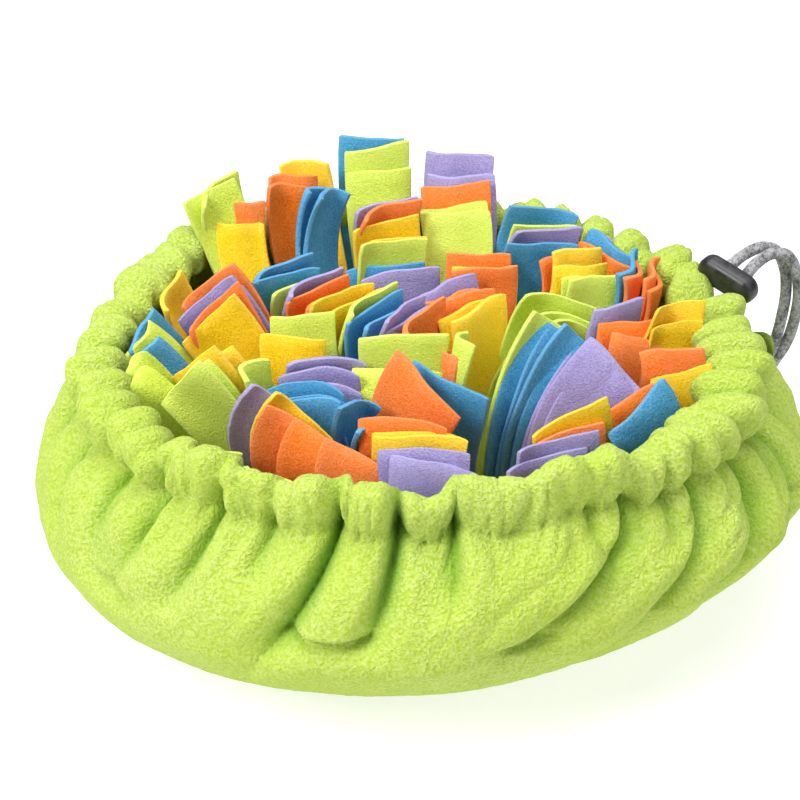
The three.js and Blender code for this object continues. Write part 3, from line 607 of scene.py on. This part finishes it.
def lock_plastic(looks):
    """Satin black moulded plastic with a fine grain and handling marks."""
    finish = Finish("black_plastic_satin")
    place = finish.objects()
    grain = finish.noise(place, LOCK_GRAIN, detail=2, roughness=0.5)
    wear = finish.noise(place, LOCK_WEAR, detail=4, roughness=0.6)
    base = tuple(looks.plastic)
    colour = finish.blend(finish.spread(wear, low=0.35, high=0.7), base, paler(base, 0.035))
    roughness = 0.3 + finish.spread(wear, low=0.3, high=0.7) * 0.16
    return finish.close({
        "Base Color": colour, "Roughness": roughness, "Specular IOR Level": 0.5,
        "Normal": finish.bump(grain, strength=0.12, distance=0.0003),
    })


def floor_paint(looks):
    """Matte pale floor, with some light of its own so that it stays nearly white."""
    finish = Finish("stage_floor_matte")
    cloud = finish.noise(finish.objects(), FLOOR_CLOUDS, detail=2, roughness=0.5)
    base = tuple(looks.floor)
    colour = finish.blend(cloud, shade(base, 0.995), shade(base, 1.005))
    return finish.close({
        "Base Color": colour, "Roughness": 0.9, "Specular IOR Level": 0.1,
        "Emission Color": (1, 1, 1, 1), "Emission Strength": 0.7,
    })


def clear_selection():
    """Nothing selected and no active object, before a piece is started."""
    for item in list(bpy.context.selected_objects):
        item.select_set(False)
    bpy.context.view_layer.objects.active = None


def pick(items):
    """Selects these objects alone; the first is active."""
    clear_selection()
    for item in items:
        item.select_set(True)
    bpy.context.view_layer.objects.active = items[0]


def apply_modifier(piece, kind, **settings):
    """Adds a modifier with those settings and applies it."""
    pick([piece])
    modifier = piece.modifiers.new(kind.lower(), kind)
    for name, value in settings.items():
        setattr(modifier, name, value)
    bpy.ops.object.modifier_apply(modifier=modifier.name)


def close_mesh(piece):
    """Merges the piece's doubles and turns its faces outward."""
    pick([piece])
    bpy.ops.object.mode_set(mode="EDIT")
    bpy.ops.mesh.select_all(action="SELECT")
    bpy.ops.mesh.remove_doubles(threshold=MERGE_WITHIN)
    bpy.ops.mesh.normals_make_consistent(inside=False)
    bpy.ops.object.mode_set(mode="OBJECT")


def write_values(mesh, name, values):
    """A number at each point of the mesh, for its material to read."""
    attribute = mesh.attributes.new(name, "FLOAT", "POINT")
    attribute.data.foreach_set("value", values.astype(np.float32))


def points_of(mesh):
    flat = np.zeros(len(mesh.vertices) * 3)
    mesh.vertices.foreach_get("co", flat)
    return flat.reshape(-1, 3)


def set_points(mesh, points):
    mesh.vertices.foreach_set("co", np.ascontiguousarray(points, dtype=np.float64).ravel())
    mesh.update()


def join_pieces(items, name):
    """Joins the objects into one piece of that name."""
    pick(items)
    bpy.ops.object.join()
    joined = bpy.context.view_layer.objects.active
    joined.name = name
    joined.data.name = name
    return joined


def settle(piece, nodes):
    """The finished piece stands for its CAD nodes and rides on the part's one body."""
    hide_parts(*nodes)
    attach(piece, BODY)


def mix(first, second, share):
    return first + (second - first) * share


def scatter(number, kind):
    """An even scatter between -1 and 1, the same each run, for a flap, bundle or fold of that number."""
    share = number * NUMBER_STEP + kind * RUN_STEP
    return 2 * (share - math.floor(share)) - 1


def bell(offset, half_width):
    """1 in the middle, falling off smoothly to both sides."""
    return np.exp(-(offset / half_width) ** 2)


def turn_between(degrees, other):
    """How far a bearing is from another one, between -180 and 180 degrees."""
    return (degrees - other + 180) % 360 - 180


def smooth_run(first, slope_in, second, slope_out, share):
    """A smooth run from a first to a second value, with the slopes that it starts and ends with."""
    square, cube = share ** 2, share ** 3
    return (first * (2 * cube - 3 * square + 1) + slope_in * (cube - 2 * square + share)
            + second * (3 * square - 2 * cube) + slope_out * (cube - square))


def closed_curve(values, degrees):
    """A row of values, evenly round the bag, at any bearing on a smooth closed curve."""
    count = len(values)
    place = (degrees % 360) / (360 / count)
    index = np.floor(place).astype(int)
    before, first, second, after = (values[(index + shift) % count] for shift in (-1, 0, 1, 2))
    return smooth_run(first, (second - before) / 2, second, (after - first) / 2, place - index)


def side(column, degrees):
    """One of the measures of the bag's sides, at any bearing."""
    return closed_curve(SIDES[:, column], degrees)


def gathers(degrees, way):
    """Depth of the gathers at a place on the way down the wall, and how far the cloth closes over them."""
    depth = np.zeros_like(degrees)
    close = np.zeros_like(degrees)
    for number, (at, wide, deep, reach, drift) in enumerate(FOLDS):
        fade = np.clip(1 - way / reach, 0, 1) ** FOLD_FADE
        width = wide * mix(FOLD_NARROW, FOLD_BROAD, np.clip(way, 0, AT_BELLY))
        offset = turn_between(degrees, at + drift * way ** FOLD_SWEEP) / width
        lean = FOLD_LEAN * scatter(number, VARY_TILT)
        leaning = offset * (1 + lean * np.tanh(FOLD_LEAN_EASE * offset))
        section = FOLD_ROUND * np.exp(-leaning ** 2) + FOLD_SHARP * np.exp(-np.abs(leaning) * FOLD_POINT)
        depth += deep * mix(1, FOLD_DEEPEN, np.clip(way / FOLD_DEEPEN_BY, 0, 1)) * fade * section
        close -= FOLD_CLOSE * width * fade * offset * np.exp(-offset ** 2)
    return depth, close


def cross_folds(degrees, way):
    """Depth of the short folds across the wall, each with a steep upper side."""
    depth = np.zeros_like(degrees)
    for at, long, place, tall, deep in CROSS_FOLDS:
        along = turn_between(degrees, at) / long
        dipped = (way - place + CROSS_BOW * along ** 2) / tall
        slope = np.where(dipped < 0, CROSS_STEEP, CROSS_SOFT)
        depth += deep * np.exp(-along ** 4) * np.exp(-(slope * dipped) ** 2)
    return depth


def ruffle_phase(degrees):
    """How far through its run of ruffles the hem is at each bearing."""
    phase = RUFFLES * degrees
    for waves, start, swing in RUFFLE_DRIFT:
        phase = phase + swing * np.sin(np.radians(waves * degrees + start))
    return np.radians(phase)


def wrinkles(degrees, way):
    """Depth of the wrinkles that the drawcord draws up, in the hem (way < 0) and under it."""
    sweep = closed_curve(WRINKLE_SWEEP, degrees) * np.clip(way, 0, AT_FOOT) ** FOLD_SWEEP
    swept = np.radians(degrees - sweep)
    depth = np.zeros_like(degrees)
    for fine, deep, reach in WRINKLES:
        places = zip(fine * np.cos(swept), fine * np.sin(swept), fine * WRINKLE_CHANGE * way + fine)
        value = np.array([noise.noise(Vector(place)) for place in places])
        fade = np.exp(-(way / reach) ** 2)
        depth += deep * fade * np.clip(1 - np.abs(value) / WRINKLE_WIDE, 0, 1) ** WRINKLE_SHARP
    return depth


def hem_lift(degrees):
    """How far the hem stands above its even height."""
    return sum(rise * bell(turn_between(degrees, at), wide) for at, wide, rise in HEM_LOBES)


def lower_wall(degrees, share, inset):
    """The wall from the foot out to the belly."""
    turn = share * math.pi / 2
    full = side(FULL, degrees)
    out = mix(share, math.sin(turn), full)
    rise = mix(share, 1 - math.cos(turn), full)
    way = mix(AT_FOOT, AT_BELLY, out)
    depth, close = gathers(degrees, way)
    depth = (depth + cross_folds(degrees, way) + wrinkles(degrees, way)) * out
    foot = side(FOOT, degrees)
    radius = foot + (side(BELLY, degrees) - foot) * out - depth - inset * math.sin(turn)
    height = side(BELLY_UP, degrees) * rise + inset * math.cos(turn)
    return radius, height, close * out, depth


def upper_wall(degrees, rise, inset):
    """The wall from the belly in to the neck under the hem."""
    way = AT_BELLY - rise + np.zeros_like(degrees)
    depth, close = gathers(degrees, way)
    depth = depth + cross_folds(degrees, way) + wrinkles(degrees, way)
    belly = side(BELLY, degrees)
    neck = side(RIM, degrees) + NECK_OUT
    low = side(BELLY_UP, degrees)
    high = side(RIM_UP, degrees) - HEM + LIFT_LOW * hem_lift(degrees)
    seam = SEAM_DEEP * math.exp(-((1 - rise) / SEAM_WIDE) ** 2)
    radius = neck + (belly - neck) * (1 - rise ** SHOULDER) - depth - seam
    radius = radius - inset * mix(1, NECK_SLOPE, rise)
    height = mix(low, high, rise) - inset * NECK_SLOPE * rise
    return radius, height, close, depth


def hem_roll(degrees, angle):
    """The gathered hem: a soft fat roll in ruffles that snake in and out, creased where the gathers start."""
    pinch, close = gathers(degrees, np.zeros_like(degrees))
    pinch = pinch * closed_curve(HEM_PINCH, degrees)
    out, up = math.cos(angle), math.sin(angle)
    free = 0.5 + 0.5 * up
    deep = closed_curve(RUFFLE_DEPTH, degrees)
    slanted = ruffle_phase(degrees) / 2 + RUFFLE_SLANT * (angle - math.pi / 2)
    ruffle = deep * ((np.cos(slanted) ** 2 + RUFFLE_CREASE) ** RUFFLE_BACK - RUFFLE_LEVEL)
    swell = ruffle - wrinkles(degrees, HEM_WAY * free + np.zeros_like(degrees))
    snake = RUFFLE_SNAKE * deep * np.cos(slanted) * free
    reach = closed_curve(HEM_OUT if out > 0 else HEM_IN, degrees)
    bulge = math.copysign(abs(out) ** HEM_SQUARE, out)
    pinch_up = min(1.0, free * PINCH_EASE) if out > 0 else 1.0
    radius = side(RIM, degrees) + bulge * (reach + swell) + snake
    radius = radius - pinch * mix(PINCH_LOW, PINCH_HIGH, pinch_up)
    tall = HEM / 2 + (swell if up > 0 else 0)
    lift = hem_lift(degrees) * mix(LIFT_LOW, 1, free)
    height = side(RIM_UP, degrees) - HEM / 2 + lift + tall * up - free * PINCH_TOP * pinch
    # The last value is the depth for the painted shade in creases: more where the gathers pinch the hem and
    # between its ruffles
    return radius, height, close * HEM_CLOSE, CREASE_SHADE_PINCH * pinch - CREASE_SHADE_RUFFLE * swell


def bag_rows(degrees):
    """Rows of the cloth's radius, height, turn and depth for the painted shade in creases, from under the
    floor round to inside the floor.
    """
    level = np.zeros_like(degrees)
    foot = side(FOOT, degrees)
    angles = np.radians(np.linspace(HEM_FROM, HEM_TO, HEM_ROWS))
    rows = [(foot * share, level, level, level) for share in FLOOR_RINGS]
    rows += [lower_wall(degrees, share, 0) for share in np.linspace(0, 1, LOWER_ROWS)]
    rows += [upper_wall(degrees, rise, 0) for rise in np.linspace(0, 1, UPPER_ROWS)[1:]]
    rows += [hem_roll(degrees, angle) for angle in angles]
    rows += [upper_wall(degrees, rise, CLOTH) for rise in np.linspace(1, 0, UPPER_ROWS_INSIDE)]
    rows += [lower_wall(degrees, share, CLOTH) for share in np.linspace(1, 0, LOWER_ROWS_INSIDE)[1:]]
    rows += [(foot * share, level + CLOTH, level, level) for share in FLOOR_RINGS_INSIDE]
    return rows


def bag_points(columns, row_of, column_of):
    """Places of the cloth grid's points, known by row and column, and how much painted shade of the creases
    each gets, from how deep it lies in them.
    """
    degrees = np.arange(columns + 1) * 360.0 / columns
    grid = np.zeros((max(row_of) + 1, columns + 1, 4))
    for number, (radius, height, turn, crease) in enumerate(bag_rows(degrees)):
        bearing = np.radians(degrees + turn)
        grid[number] = np.stack([radius * np.cos(bearing), radius * np.sin(bearing), height, crease], axis=-1)
    found = grid[row_of, column_of]
    return found[:, :3] * MM, np.clip(found[:, 3] / CREASE_SHADE_FULL, 0, 1)


def sagged(points):
    """The cloth with soft uneven swells, which leave its floor flat."""
    moved = points.copy()
    for index, point in enumerate(points):
        swell = sum(noise.noise(Vector(point) * fine) * high for fine, high in SWELLS)
        out = math.hypot(point[0], point[1])
        lift = min(1.0, max(0.0, (point[2] - SWELL_FROM) / SWELL_OVER))
        if out > 0:
            moved[index, :2] += point[:2] / out * swell * lift
        moved[index, 2] += swell * SWELL_UP * lift
    return moved


class SNUFFLE_OT_bag(bpy.types.Operator):
    """Make the bag: one round of fleece, gathered into a hem by its drawcord"""

    bl_idname = "snuffle.bag"
    bl_label = "Bag cloth"

    def execute(self, context):
        looks = context.scene.snuffle_cloth
        rows = len(bag_rows(np.zeros(1)))
        clear_selection()
        bpy.ops.mesh.primitive_grid_add(x_subdivisions=COLUMNS, y_subdivisions=rows - 1, size=1)
        bag = context.active_object
        bag.name = "bag_cloth"
        places = points_of(bag.data)
        column_of = np.rint((places[:, 0] + 0.5) * COLUMNS).astype(int)
        row_of = np.rint((places[:, 1] + 0.5) * (rows - 1)).astype(int)
        points, crease = bag_points(COLUMNS, row_of, column_of)
        set_points(bag.data, sagged(points))
        # Painted shade: how far each point's colour is drawn to the darker, greener colour of the creases
        write_values(bag.data, "crease", crease)
        close_mesh(bag)
        texture = bpy.data.textures.new("nubs", "CLOUDS")
        texture.noise_scale = NUB_ACROSS
        texture.noise_depth = 1
        apply_modifier(bag, "DISPLACE", texture=texture, texture_coords="LOCAL",
                       strength=looks.nub, mid_level=0.5)
        bpy.data.textures.remove(texture)
        points = points_of(bag.data)
        points[:, 2] = np.maximum(points[:, 2], 0)
        set_points(bag.data, points)
        bpy.ops.object.shade_smooth()
        bag.data.materials.append(bag_fleece(looks))
        settle(bag, ["bag_shell"])
        return {"FINISHED"}


def bearing_vector(degrees):
    """The level way that points along a bearing."""
    return np.array([math.cos(math.radians(degrees)), math.sin(math.radians(degrees)), 0.0])


def mouth_place(x, y, height):
    """A place in the bag, measured at its mouth and drawn in towards the middle by its depth."""
    spread = mix(FLOOR_SPREAD, 1, height / SPREAD_HEIGHT)
    return np.array([x * spread, y * spread, height])


def alike(seed, stack, kind, share):
    """A flap's own scatter, drawn by a share towards its bundle's."""
    return mix(scatter(seed, kind), scatter(stack, kind), share)


def flap_spine(bundle, number, seed, rise):
    """One flap's middle line at those shares of its height, with the ways along it and across it there."""
    count = len(bundle.colours)
    share = number / (count - 1) if count > 1 else 0.5
    x, y, z, facing = (mix(getattr(bundle, name), getattr(bundle, "end_" + name), share)
                       for name in ("x", "y", "z", "facing"))
    z = z + HEIGHT_SCATTER * scatter(seed, VARY_HEIGHT)
    roll = math.radians(mix(bundle.roll, bundle.end_roll, share) + ROLL_SCATTER * scatter(seed, VARY_ROLL))
    tilt = math.radians(mix(bundle.tilt, bundle.end_tilt, share) + TILT_SCATTER * scatter(seed, VARY_TILT))
    face, side_way = bearing_vector(facing), bearing_vector(facing + 90)
    up = np.array([0, 0, math.cos(tilt)]) - face * math.sin(tilt)
    top_along = up * math.cos(roll) - side_way * math.sin(roll)
    top_width = side_way * math.cos(roll) + up * math.sin(roll)
    root = mouth_place(x, y, FLAP_ROOT)
    top = mouth_place(x, y, z) + side_way * SIDE_SCATTER * scatter(seed, VARY_SIDE)
    long = np.linalg.norm(top - root)
    upright, pull = np.array([0, 0, long]), top_along * long
    square = rise ** 2
    middle = smooth_run(root, upright, top, pull, rise)
    along = ((root - top) * (6 * square - 6 * rise) + upright * (3 * square - 4 * rise + 1)
             + pull * (3 * square - 2 * rise))
    along = along / np.linalg.norm(along, axis=1)[:, None]
    width = mix(side_way, top_width, square)
    width = width - along * (width * along).sum(axis=1)[:, None]
    width = width / np.linalg.norm(width, axis=1)[:, None]
    return middle, along, width


def flap_bend(bundle, stack, seed, blank, thickness):
    """How far each point of the blank lies across, in front of and above its place on the middle line."""
    across, rise, through = blank[:, 0], blank[:, 1], blank[:, 2] * thickness
    edge = np.abs(2 * across)
    free = np.clip((rise - FREE_FROM) / (1 - FREE_FROM), 0, 1) ** FREE_EASE
    limp = LIMP.get(bundle.name, 0)
    half = across * (bundle.wide * FLAP_FULL) * mix(FLOOR_SPREAD, 1, rise)
    turn = half * (alike(seed, stack, VARY_CURL, CURL_ALIKE) / CURL_LEAST + ROLLED.get(bundle.name, 0)) * free
    bent = np.clip(np.sign(scatter(stack, VARY_CORNER_SIDE)) * 2 * across, 0, 1) ** 2
    corner = CORNER_MOST * alike(seed, stack, VARY_CORNER, BEND_ALIKE) * bent
    start = WAVE_START * alike(seed, stack, VARY_WAVE, BEND_ALIKE)
    wave = WAVE_HIGH * np.sin(WAVE_ACROSS * across + WAVE_UP * rise + start)
    droop = DROOP_MOST * alike(seed, stack, VARY_DROOP, BEND_ALIKE) * free + limp
    soft = CORNER_SOFT * edge ** CORNER_ACROSS * rise ** CORNER_UP
    nicks = NICK_DEEP * np.sin(NICK_WAVES * across + CUT_START * scatter(seed, VARY_NICKS))
    uneven = SLANT_MOST * scatter(seed, VARY_SLANT) * across + nicks
    ragged = RAGGED_DEEP * np.sin(RAGGED_WAVES * rise + CUT_START * scatter(seed, VARY_RAGGED))
    forward = half * np.sin(turn / 2) * np.sinc(turn / (2 * math.pi)) + (corner + wave + droop) * free
    forward = forward + through * np.cos(turn)
    sideways = half * np.sinc(turn / math.pi) - np.sign(across) * soft + ragged * edge ** RAGGED_OUT
    sideways = sideways - through * np.sin(turn)
    twist = TWIST_MOST * alike(seed, stack, VARY_TWIST, TWIST_ALIKE) * free
    sink = limp * (SINK_MIDDLE + SINK_SIDES * edge ** 2) * free ** 2
    return (sideways * np.cos(twist) - forward * np.sin(twist),
            forward * np.cos(twist) + sideways * np.sin(twist),
            uneven * free - soft - sink)


def flap_points(bundle, stack, number, seed, blank, thickness):
    """The flap blank, bent to one flap's place in its bundle. The blank runs across, up and through."""
    middle, along, width = flap_spine(bundle, number, seed, blank[:, 1:2])
    sideways, forward, above = flap_bend(bundle, stack, seed, blank, thickness)
    front = np.cross(width, along)
    return (middle + width * sideways[:, None] + front * forward[:, None] + along * above[:, None]) * MM


def strip_points(bundle, blank):
    """The flap blank, laid flat as the narrow strip that a bundle's flaps are sewn to."""
    face = bearing_vector(bundle.facing)
    start = mouth_place(bundle.x, bundle.y, FLAP_ROOT) - face * STRIP_PAST
    end = mouth_place(bundle.end_x, bundle.end_y, FLAP_ROOT) + face * STRIP_PAST
    wide = bundle.wide * FLOOR_SPREAD + STRIP_WIDER
    points = start + (end - start) * blank[:, 1:2] + bearing_vector(bundle.facing + 90) * blank[:, :1] * wide
    points[:, 2] = mix(STRIP_LOW, STRIP_TOP, blank[:, 2] + 0.5)
    return points * MM


def make_blank(thickness):
    """One flat flap with soft cut edges, to be copied and bent. Its points are shares of its size."""
    size = np.array([FLAP_WIDE * MM, FLAP_LONG * MM, thickness])
    clear_selection()
    bpy.ops.mesh.primitive_grid_add(x_subdivisions=FLAP_CELLS_ACROSS, y_subdivisions=FLAP_CELLS_UP, size=1)
    blank = bpy.context.active_object
    blank.name = "flap_blank"
    blank.data.transform(Matrix.Diagonal((size[0], size[1], 1, 1)))
    apply_modifier(blank, "SOLIDIFY", thickness=thickness, offset=0)
    apply_modifier(blank, "BEVEL", width=thickness * EDGE_ROUND, segments=EDGE_SEGMENTS, limit_method="ANGLE")
    bpy.ops.object.shade_smooth()
    places = points_of(blank.data)
    # How near each point is to the blank's edges, for the painted edge sheen
    to_edge = (size[:2] / 2 - np.abs(places[:, :2])).min(axis=1)
    write_values(blank.data, "cut_edge", np.clip(1 - to_edge / (EDGE_SHEEN_REACH * MM), 0, 1))
    shares = places / size
    shares[:, 1] = np.clip(shares[:, 1] + 0.5, 0, None) ** FLAP_CELLS_EASE
    return blank, shares


class SNUFFLE_OT_flaps(bpy.types.Operator):
    """Make the bundles of flaps, each flap bent from one blank"""

    bl_idname = "snuffle.flaps"
    bl_label = "Flaps"

    def execute(self, context):
        looks = context.scene.snuffle_flaps
        fleeces = {}
        for letter, (name, heather) in FLAP_FLEECES.items():
            fleeces[letter] = flap_fleece(name, tuple(getattr(looks, name)), heather)
        blank, shares = make_blank(looks.thickness)
        seed = 0
        for stack, bundle in enumerate(BUNDLES):
            node = "flaps_" + bundle.name
            items = []
            for number, letter in enumerate(bundle.colours):
                points = flap_points(bundle, stack, number, seed, shares, looks.thickness / MM)
                dye = scatter(seed, VARY_DYE)
                items.append(self.copy_blank(context, blank, points, fleeces[letter], dye))
                seed += 1
            backing = fleeces[bundle.colours[-1]]
            items.append(self.copy_blank(context, blank, strip_points(bundle, shares), backing, 0))
            settle(join_pieces(items, "flap_bundle_" + bundle.name), [node])
        bpy.data.objects.remove(blank)
        return {"FINISHED"}

    def copy_blank(self, context, blank, points, fleece, dye):
        """A copy of the blank with its points in place, its fleece, and how deep its dye is, from -1 to 1."""
        mesh = blank.data.copy()
        set_points(mesh, points)
        write_values(mesh, "dye", np.full(len(points), 0.5 + 0.5 * dye))
        mesh.materials.append(fleece)
        flap = bpy.data.objects.new("flap", mesh)
        context.collection.objects.link(flap)
        return flap


def smooth_route(points, count):
    """Evenly spaced points on a smooth curve through the route's points, which keeps its ends."""
    gaps = np.sqrt(np.linalg.norm(np.diff(points, axis=0), axis=1))
    knots = np.concatenate([[0], np.cumsum(gaps)])
    ends = np.vstack([2 * points[0] - points[1], points, 2 * points[-1] - points[-2]])
    times = np.concatenate([[knots[0] - gaps[0]], knots, [knots[-1] + gaps[-1]]])
    fine = []
    for place in np.linspace(0, knots[-1], 4 * count):
        index = min(int(np.searchsorted(knots, place, side="right")), len(points) - 1)
        near, when = ends[index - 1:index + 3], times[index - 1:index + 3]
        for spans in (((0, 1), (1, 2), (2, 3)), ((0, 2), (1, 3)), ((1, 2),)):
            near = [mix(near[step], near[step + 1], (place - when[start]) / (when[end] - when[start]))
                    for step, (start, end) in enumerate(spans)]
        fine.append(near[0])
    fine = np.array(fine)
    run = np.concatenate([[0], np.cumsum(np.linalg.norm(np.diff(fine, axis=0), axis=1))])
    even = np.linspace(0, run[-1], count)
    return np.stack([np.interp(even, run, fine[:, axis]) for axis in range(3)], axis=-1)


def tube(name, line, diameter, closed=False):
    """A round cord along a line, made from a curve and turned into a mesh."""
    clear_selection()
    curve = bpy.data.curves.new(name, "CURVE")
    curve.dimensions = "3D"
    curve.bevel_depth = diameter / 2
    curve.bevel_resolution = CORD_SIDES // 4 - 1
    curve.use_fill_caps = not closed
    spline = curve.splines.new("POLY")
    spline.points.add(len(line) - 1)
    for point, place in zip(spline.points, line):
        point.co = (*place, 1)
    spline.use_cyclic_u = closed
    piece = bpy.data.objects.new(name, curve)
    bpy.context.collection.objects.link(piece)
    pick([piece])
    bpy.ops.object.convert(target="MESH")
    piece = bpy.context.active_object
    piece.data.name = name
    close_mesh(piece)
    bpy.ops.object.shade_smooth()
    return piece


class SNUFFLE_OT_cords(bpy.types.Operator):
    """Make the drawcord's two ends and the knot that joins them"""

    bl_idname = "snuffle.cords"
    bl_label = "Drawcord"

    def execute(self, context):
        looks = context.scene.snuffle_cords
        yarn = cord_yarn(looks)
        knot = self.knot(looks.diameter)
        knot.data.materials.append(yarn)
        settle(knot, ["cord_knot"])
        for name, way in (("cord_front", 1), ("cord_back", -1)):
            route = (CORD_ROUTE[:, :3] + way * CORD_ROUTE[:, 3:]) * MM
            line = smooth_route(route, CORD_RINGS)
            piece = tube("draw" + name, line, looks.diameter)
            piece.data.materials.append(yarn)
            settle(piece, [name])
        return {"FINISHED"}

    def knot(self, diameter):
        """An overhand knot, drawn up tight, where the two cords end."""
        end, before = CORD_ROUTE[-1, :3], CORD_ROUTE[-2, :3]
        way = (end - before) * np.array([1, 1, 0])
        way = way / np.linalg.norm(way)
        across = np.array([-way[1], way[0], 0])
        up = np.array([0, 0, 1])
        middle = np.array([end[0], end[1], 0]) + way * KNOT_OUT
        middle[2] = KNOT_OUT * KNOT_UP
        turn = np.linspace(0, 2 * math.pi, KNOT_POINTS, endpoint=False)[:, None]
        size = (KNOT_OUT - diameter / MM / 2) / 3
        sideways = size * (np.sin(turn) + 2 * np.sin(2 * turn))
        upwards = size * (np.cos(turn) - 2 * np.cos(2 * turn))
        along = -size * KNOT_DEEP * np.sin(3 * turn)
        line = middle + way * along + across * sideways + up * upwards
        return tube("drawcord_knot", line * MM, diameter, True)


class SNUFFLE_OT_lock(bpy.types.Operator):
    """Make the cord lock: a domed oval with a hole for each cord"""

    bl_idname = "snuffle.lock"
    bl_label = "Cord lock"

    def execute(self, context):
        looks = context.scene.snuffle_cords
        clear_selection()
        bpy.ops.mesh.primitive_cylinder_add(vertices=LOCK_FACETS, radius=0.5, depth=1, end_fill_type="NGON")
        lock = context.active_object
        lock.name = "cord_lock_body"
        points = points_of(lock.data)
        drawn = np.sign(points[:, 0]) * np.clip(np.abs(points[:, 0]) / LOCK_SEAM, 0, 1)
        points = points * np.array([LOCK_WIDE, LOCK_WIDE, LOCK_THICK])
        points[:, 0] += drawn * (LOCK_LONG - LOCK_WIDE) / 2
        set_points(lock.data, points * MM)
        apply_modifier(lock, "BEVEL", width=LOCK_ROUND * MM, segments=LOCK_ROUND_STEPS,
                       limit_method="ANGLE")
        for way in (-1, 1):
            clear_selection()
            bpy.ops.mesh.primitive_cylinder_add(
                vertices=HOLE_FACETS, radius=HOLE_RADIUS * MM, depth=HOLE_DEEP * MM,
                location=(way * HOLE_OUT * MM, 0, HOLE_UP * MM))
            hole = context.active_object
            apply_modifier(lock, "BOOLEAN", object=hole, operation="DIFFERENCE", solver="EXACT")
            bpy.data.objects.remove(hole)
        lock.data.transform(lock_place())
        pick([lock])
        bpy.ops.object.shade_smooth_by_angle(angle=LOCK_SMOOTH)
        lock.data.materials.append(lock_plastic(looks))
        settle(lock, ["cord_lock"])
        return {"FINISHED"}


def lock_place():
    """The turn and place that lay the lock along the rim with its face outward and up."""
    outward = Vector(bearing_vector(LOCK_BEARING)) * math.cos(math.radians(LOCK_RISE))
    outward.z = math.sin(math.radians(LOCK_RISE))
    along = Vector(bearing_vector(LOCK_BEARING - 90))
    upward = outward.cross(along)
    turn = Matrix((along, upward, outward)).transposed().to_4x4()
    tip = Matrix.Rotation(math.radians(LOCK_TIP), 4, "Z")
    return Matrix.Translation(Vector(LOCK_AT) * MM) @ turn @ tip


class SNUFFLE_OT_stage(bpy.types.Operator):
    """Set the camera, the floor and the light"""

    bl_idname = "snuffle.stage"
    bl_label = "Stage"

    def execute(self, context):
        looks = context.scene.snuffle_stage
        target = Vector(VIEW_TARGET)
        back = Vector((0, -math.cos(VIEW_ELEVATION), math.sin(VIEW_ELEVATION)))
        clear_selection()
        bpy.ops.object.camera_add(location=target + back * VIEW_DISTANCE)
        camera = context.active_object
        camera.name = "view"
        camera.rotation_euler = (math.pi / 2 - VIEW_ELEVATION, 0, 0)
        camera.data.sensor_width = VIEW_SENSOR
        camera.data.lens = VIEW_LENS
        context.scene.camera = camera
        clear_selection()
        bpy.ops.mesh.primitive_plane_add(size=FLOOR_ACROSS)
        floor = context.active_object
        floor.name = "stage_floor"
        floor.data.materials.append(floor_paint(looks))
        for name, place, size, share in LIGHTS:
            self.light(name, Vector(place), size, looks.key * share)
        world = bpy.data.worlds.new("even_light")
        world.use_nodes = True
        background = world.node_tree.nodes["Background"]
        background.inputs["Color"].default_value = (1, 1, 1, 1)
        background.inputs["Strength"].default_value = looks.sky
        context.scene.world = world
        context.scene.view_settings.view_transform = "Standard"
        return {"FINISHED"}

    def light(self, name, place, size, power):
        """A round soft light that points at the bag."""
        clear_selection()
        bpy.ops.object.light_add(type="AREA", location=place)
        lamp = bpy.context.active_object
        lamp.name = name
        lamp.data.shape = "DISK"
        lamp.data.size = size
        lamp.data.energy = power
        lamp.rotation_euler = (Vector(LIT_AT) - place).to_track_quat("-Z", "Y").to_euler()


class SNUFFLE_PT_panel(bpy.types.Panel):
    """The bag's pieces and their looks"""

    bl_idname = "SNUFFLE_PT_panel"
    bl_label = "Snuffle bag"
    bl_space_type = "VIEW_3D"
    bl_region_type = "UI"
    bl_category = "Snuffle bag"

    def draw(self, context):
        for name, operator in PIECES:
            box = self.layout.box()
            looks = getattr(context.scene, name)
            for setting in looks.__annotations__:
                box.prop(looks, setting)
            box.operator(operator)


PIECES = (
    ("snuffle_stage", "snuffle.stage"),
    ("snuffle_cords", "snuffle.cords"),
    ("snuffle_cords", "snuffle.lock"),
    ("snuffle_cloth", "snuffle.bag"),
    ("snuffle_flaps", "snuffle.flaps"),
)
LOOKS = {
    "snuffle_stage": StageLooks,
    "snuffle_cords": CordLooks,
    "snuffle_cloth": ClothLooks,
    "snuffle_flaps": FlapLooks,
}
CLASSES = (
    *LOOKS.values(),
    SNUFFLE_OT_stage,
    SNUFFLE_OT_cords,
    SNUFFLE_OT_lock,
    SNUFFLE_OT_bag,
    SNUFFLE_OT_flaps,
    SNUFFLE_PT_panel,
)


def register():
    for item in CLASSES:
        bpy.utils.register_class(item)
    for name, group in LOOKS.items():
        setattr(bpy.types.Scene, name, bpy.props.PointerProperty(type=group))


def unregister():
    for name in LOOKS:
        delattr(bpy.types.Scene, name)
    for item in reversed(CLASSES):
        bpy.utils.unregister_class(item)


def main():
    register()
    bpy.ops.snuffle.stage()
    bpy.ops.snuffle.cords()
    bpy.ops.snuffle.lock()
    bpy.ops.snuffle.bag()
    bpy.ops.snuffle.flaps()


if __name__ == "__main__":
    main()
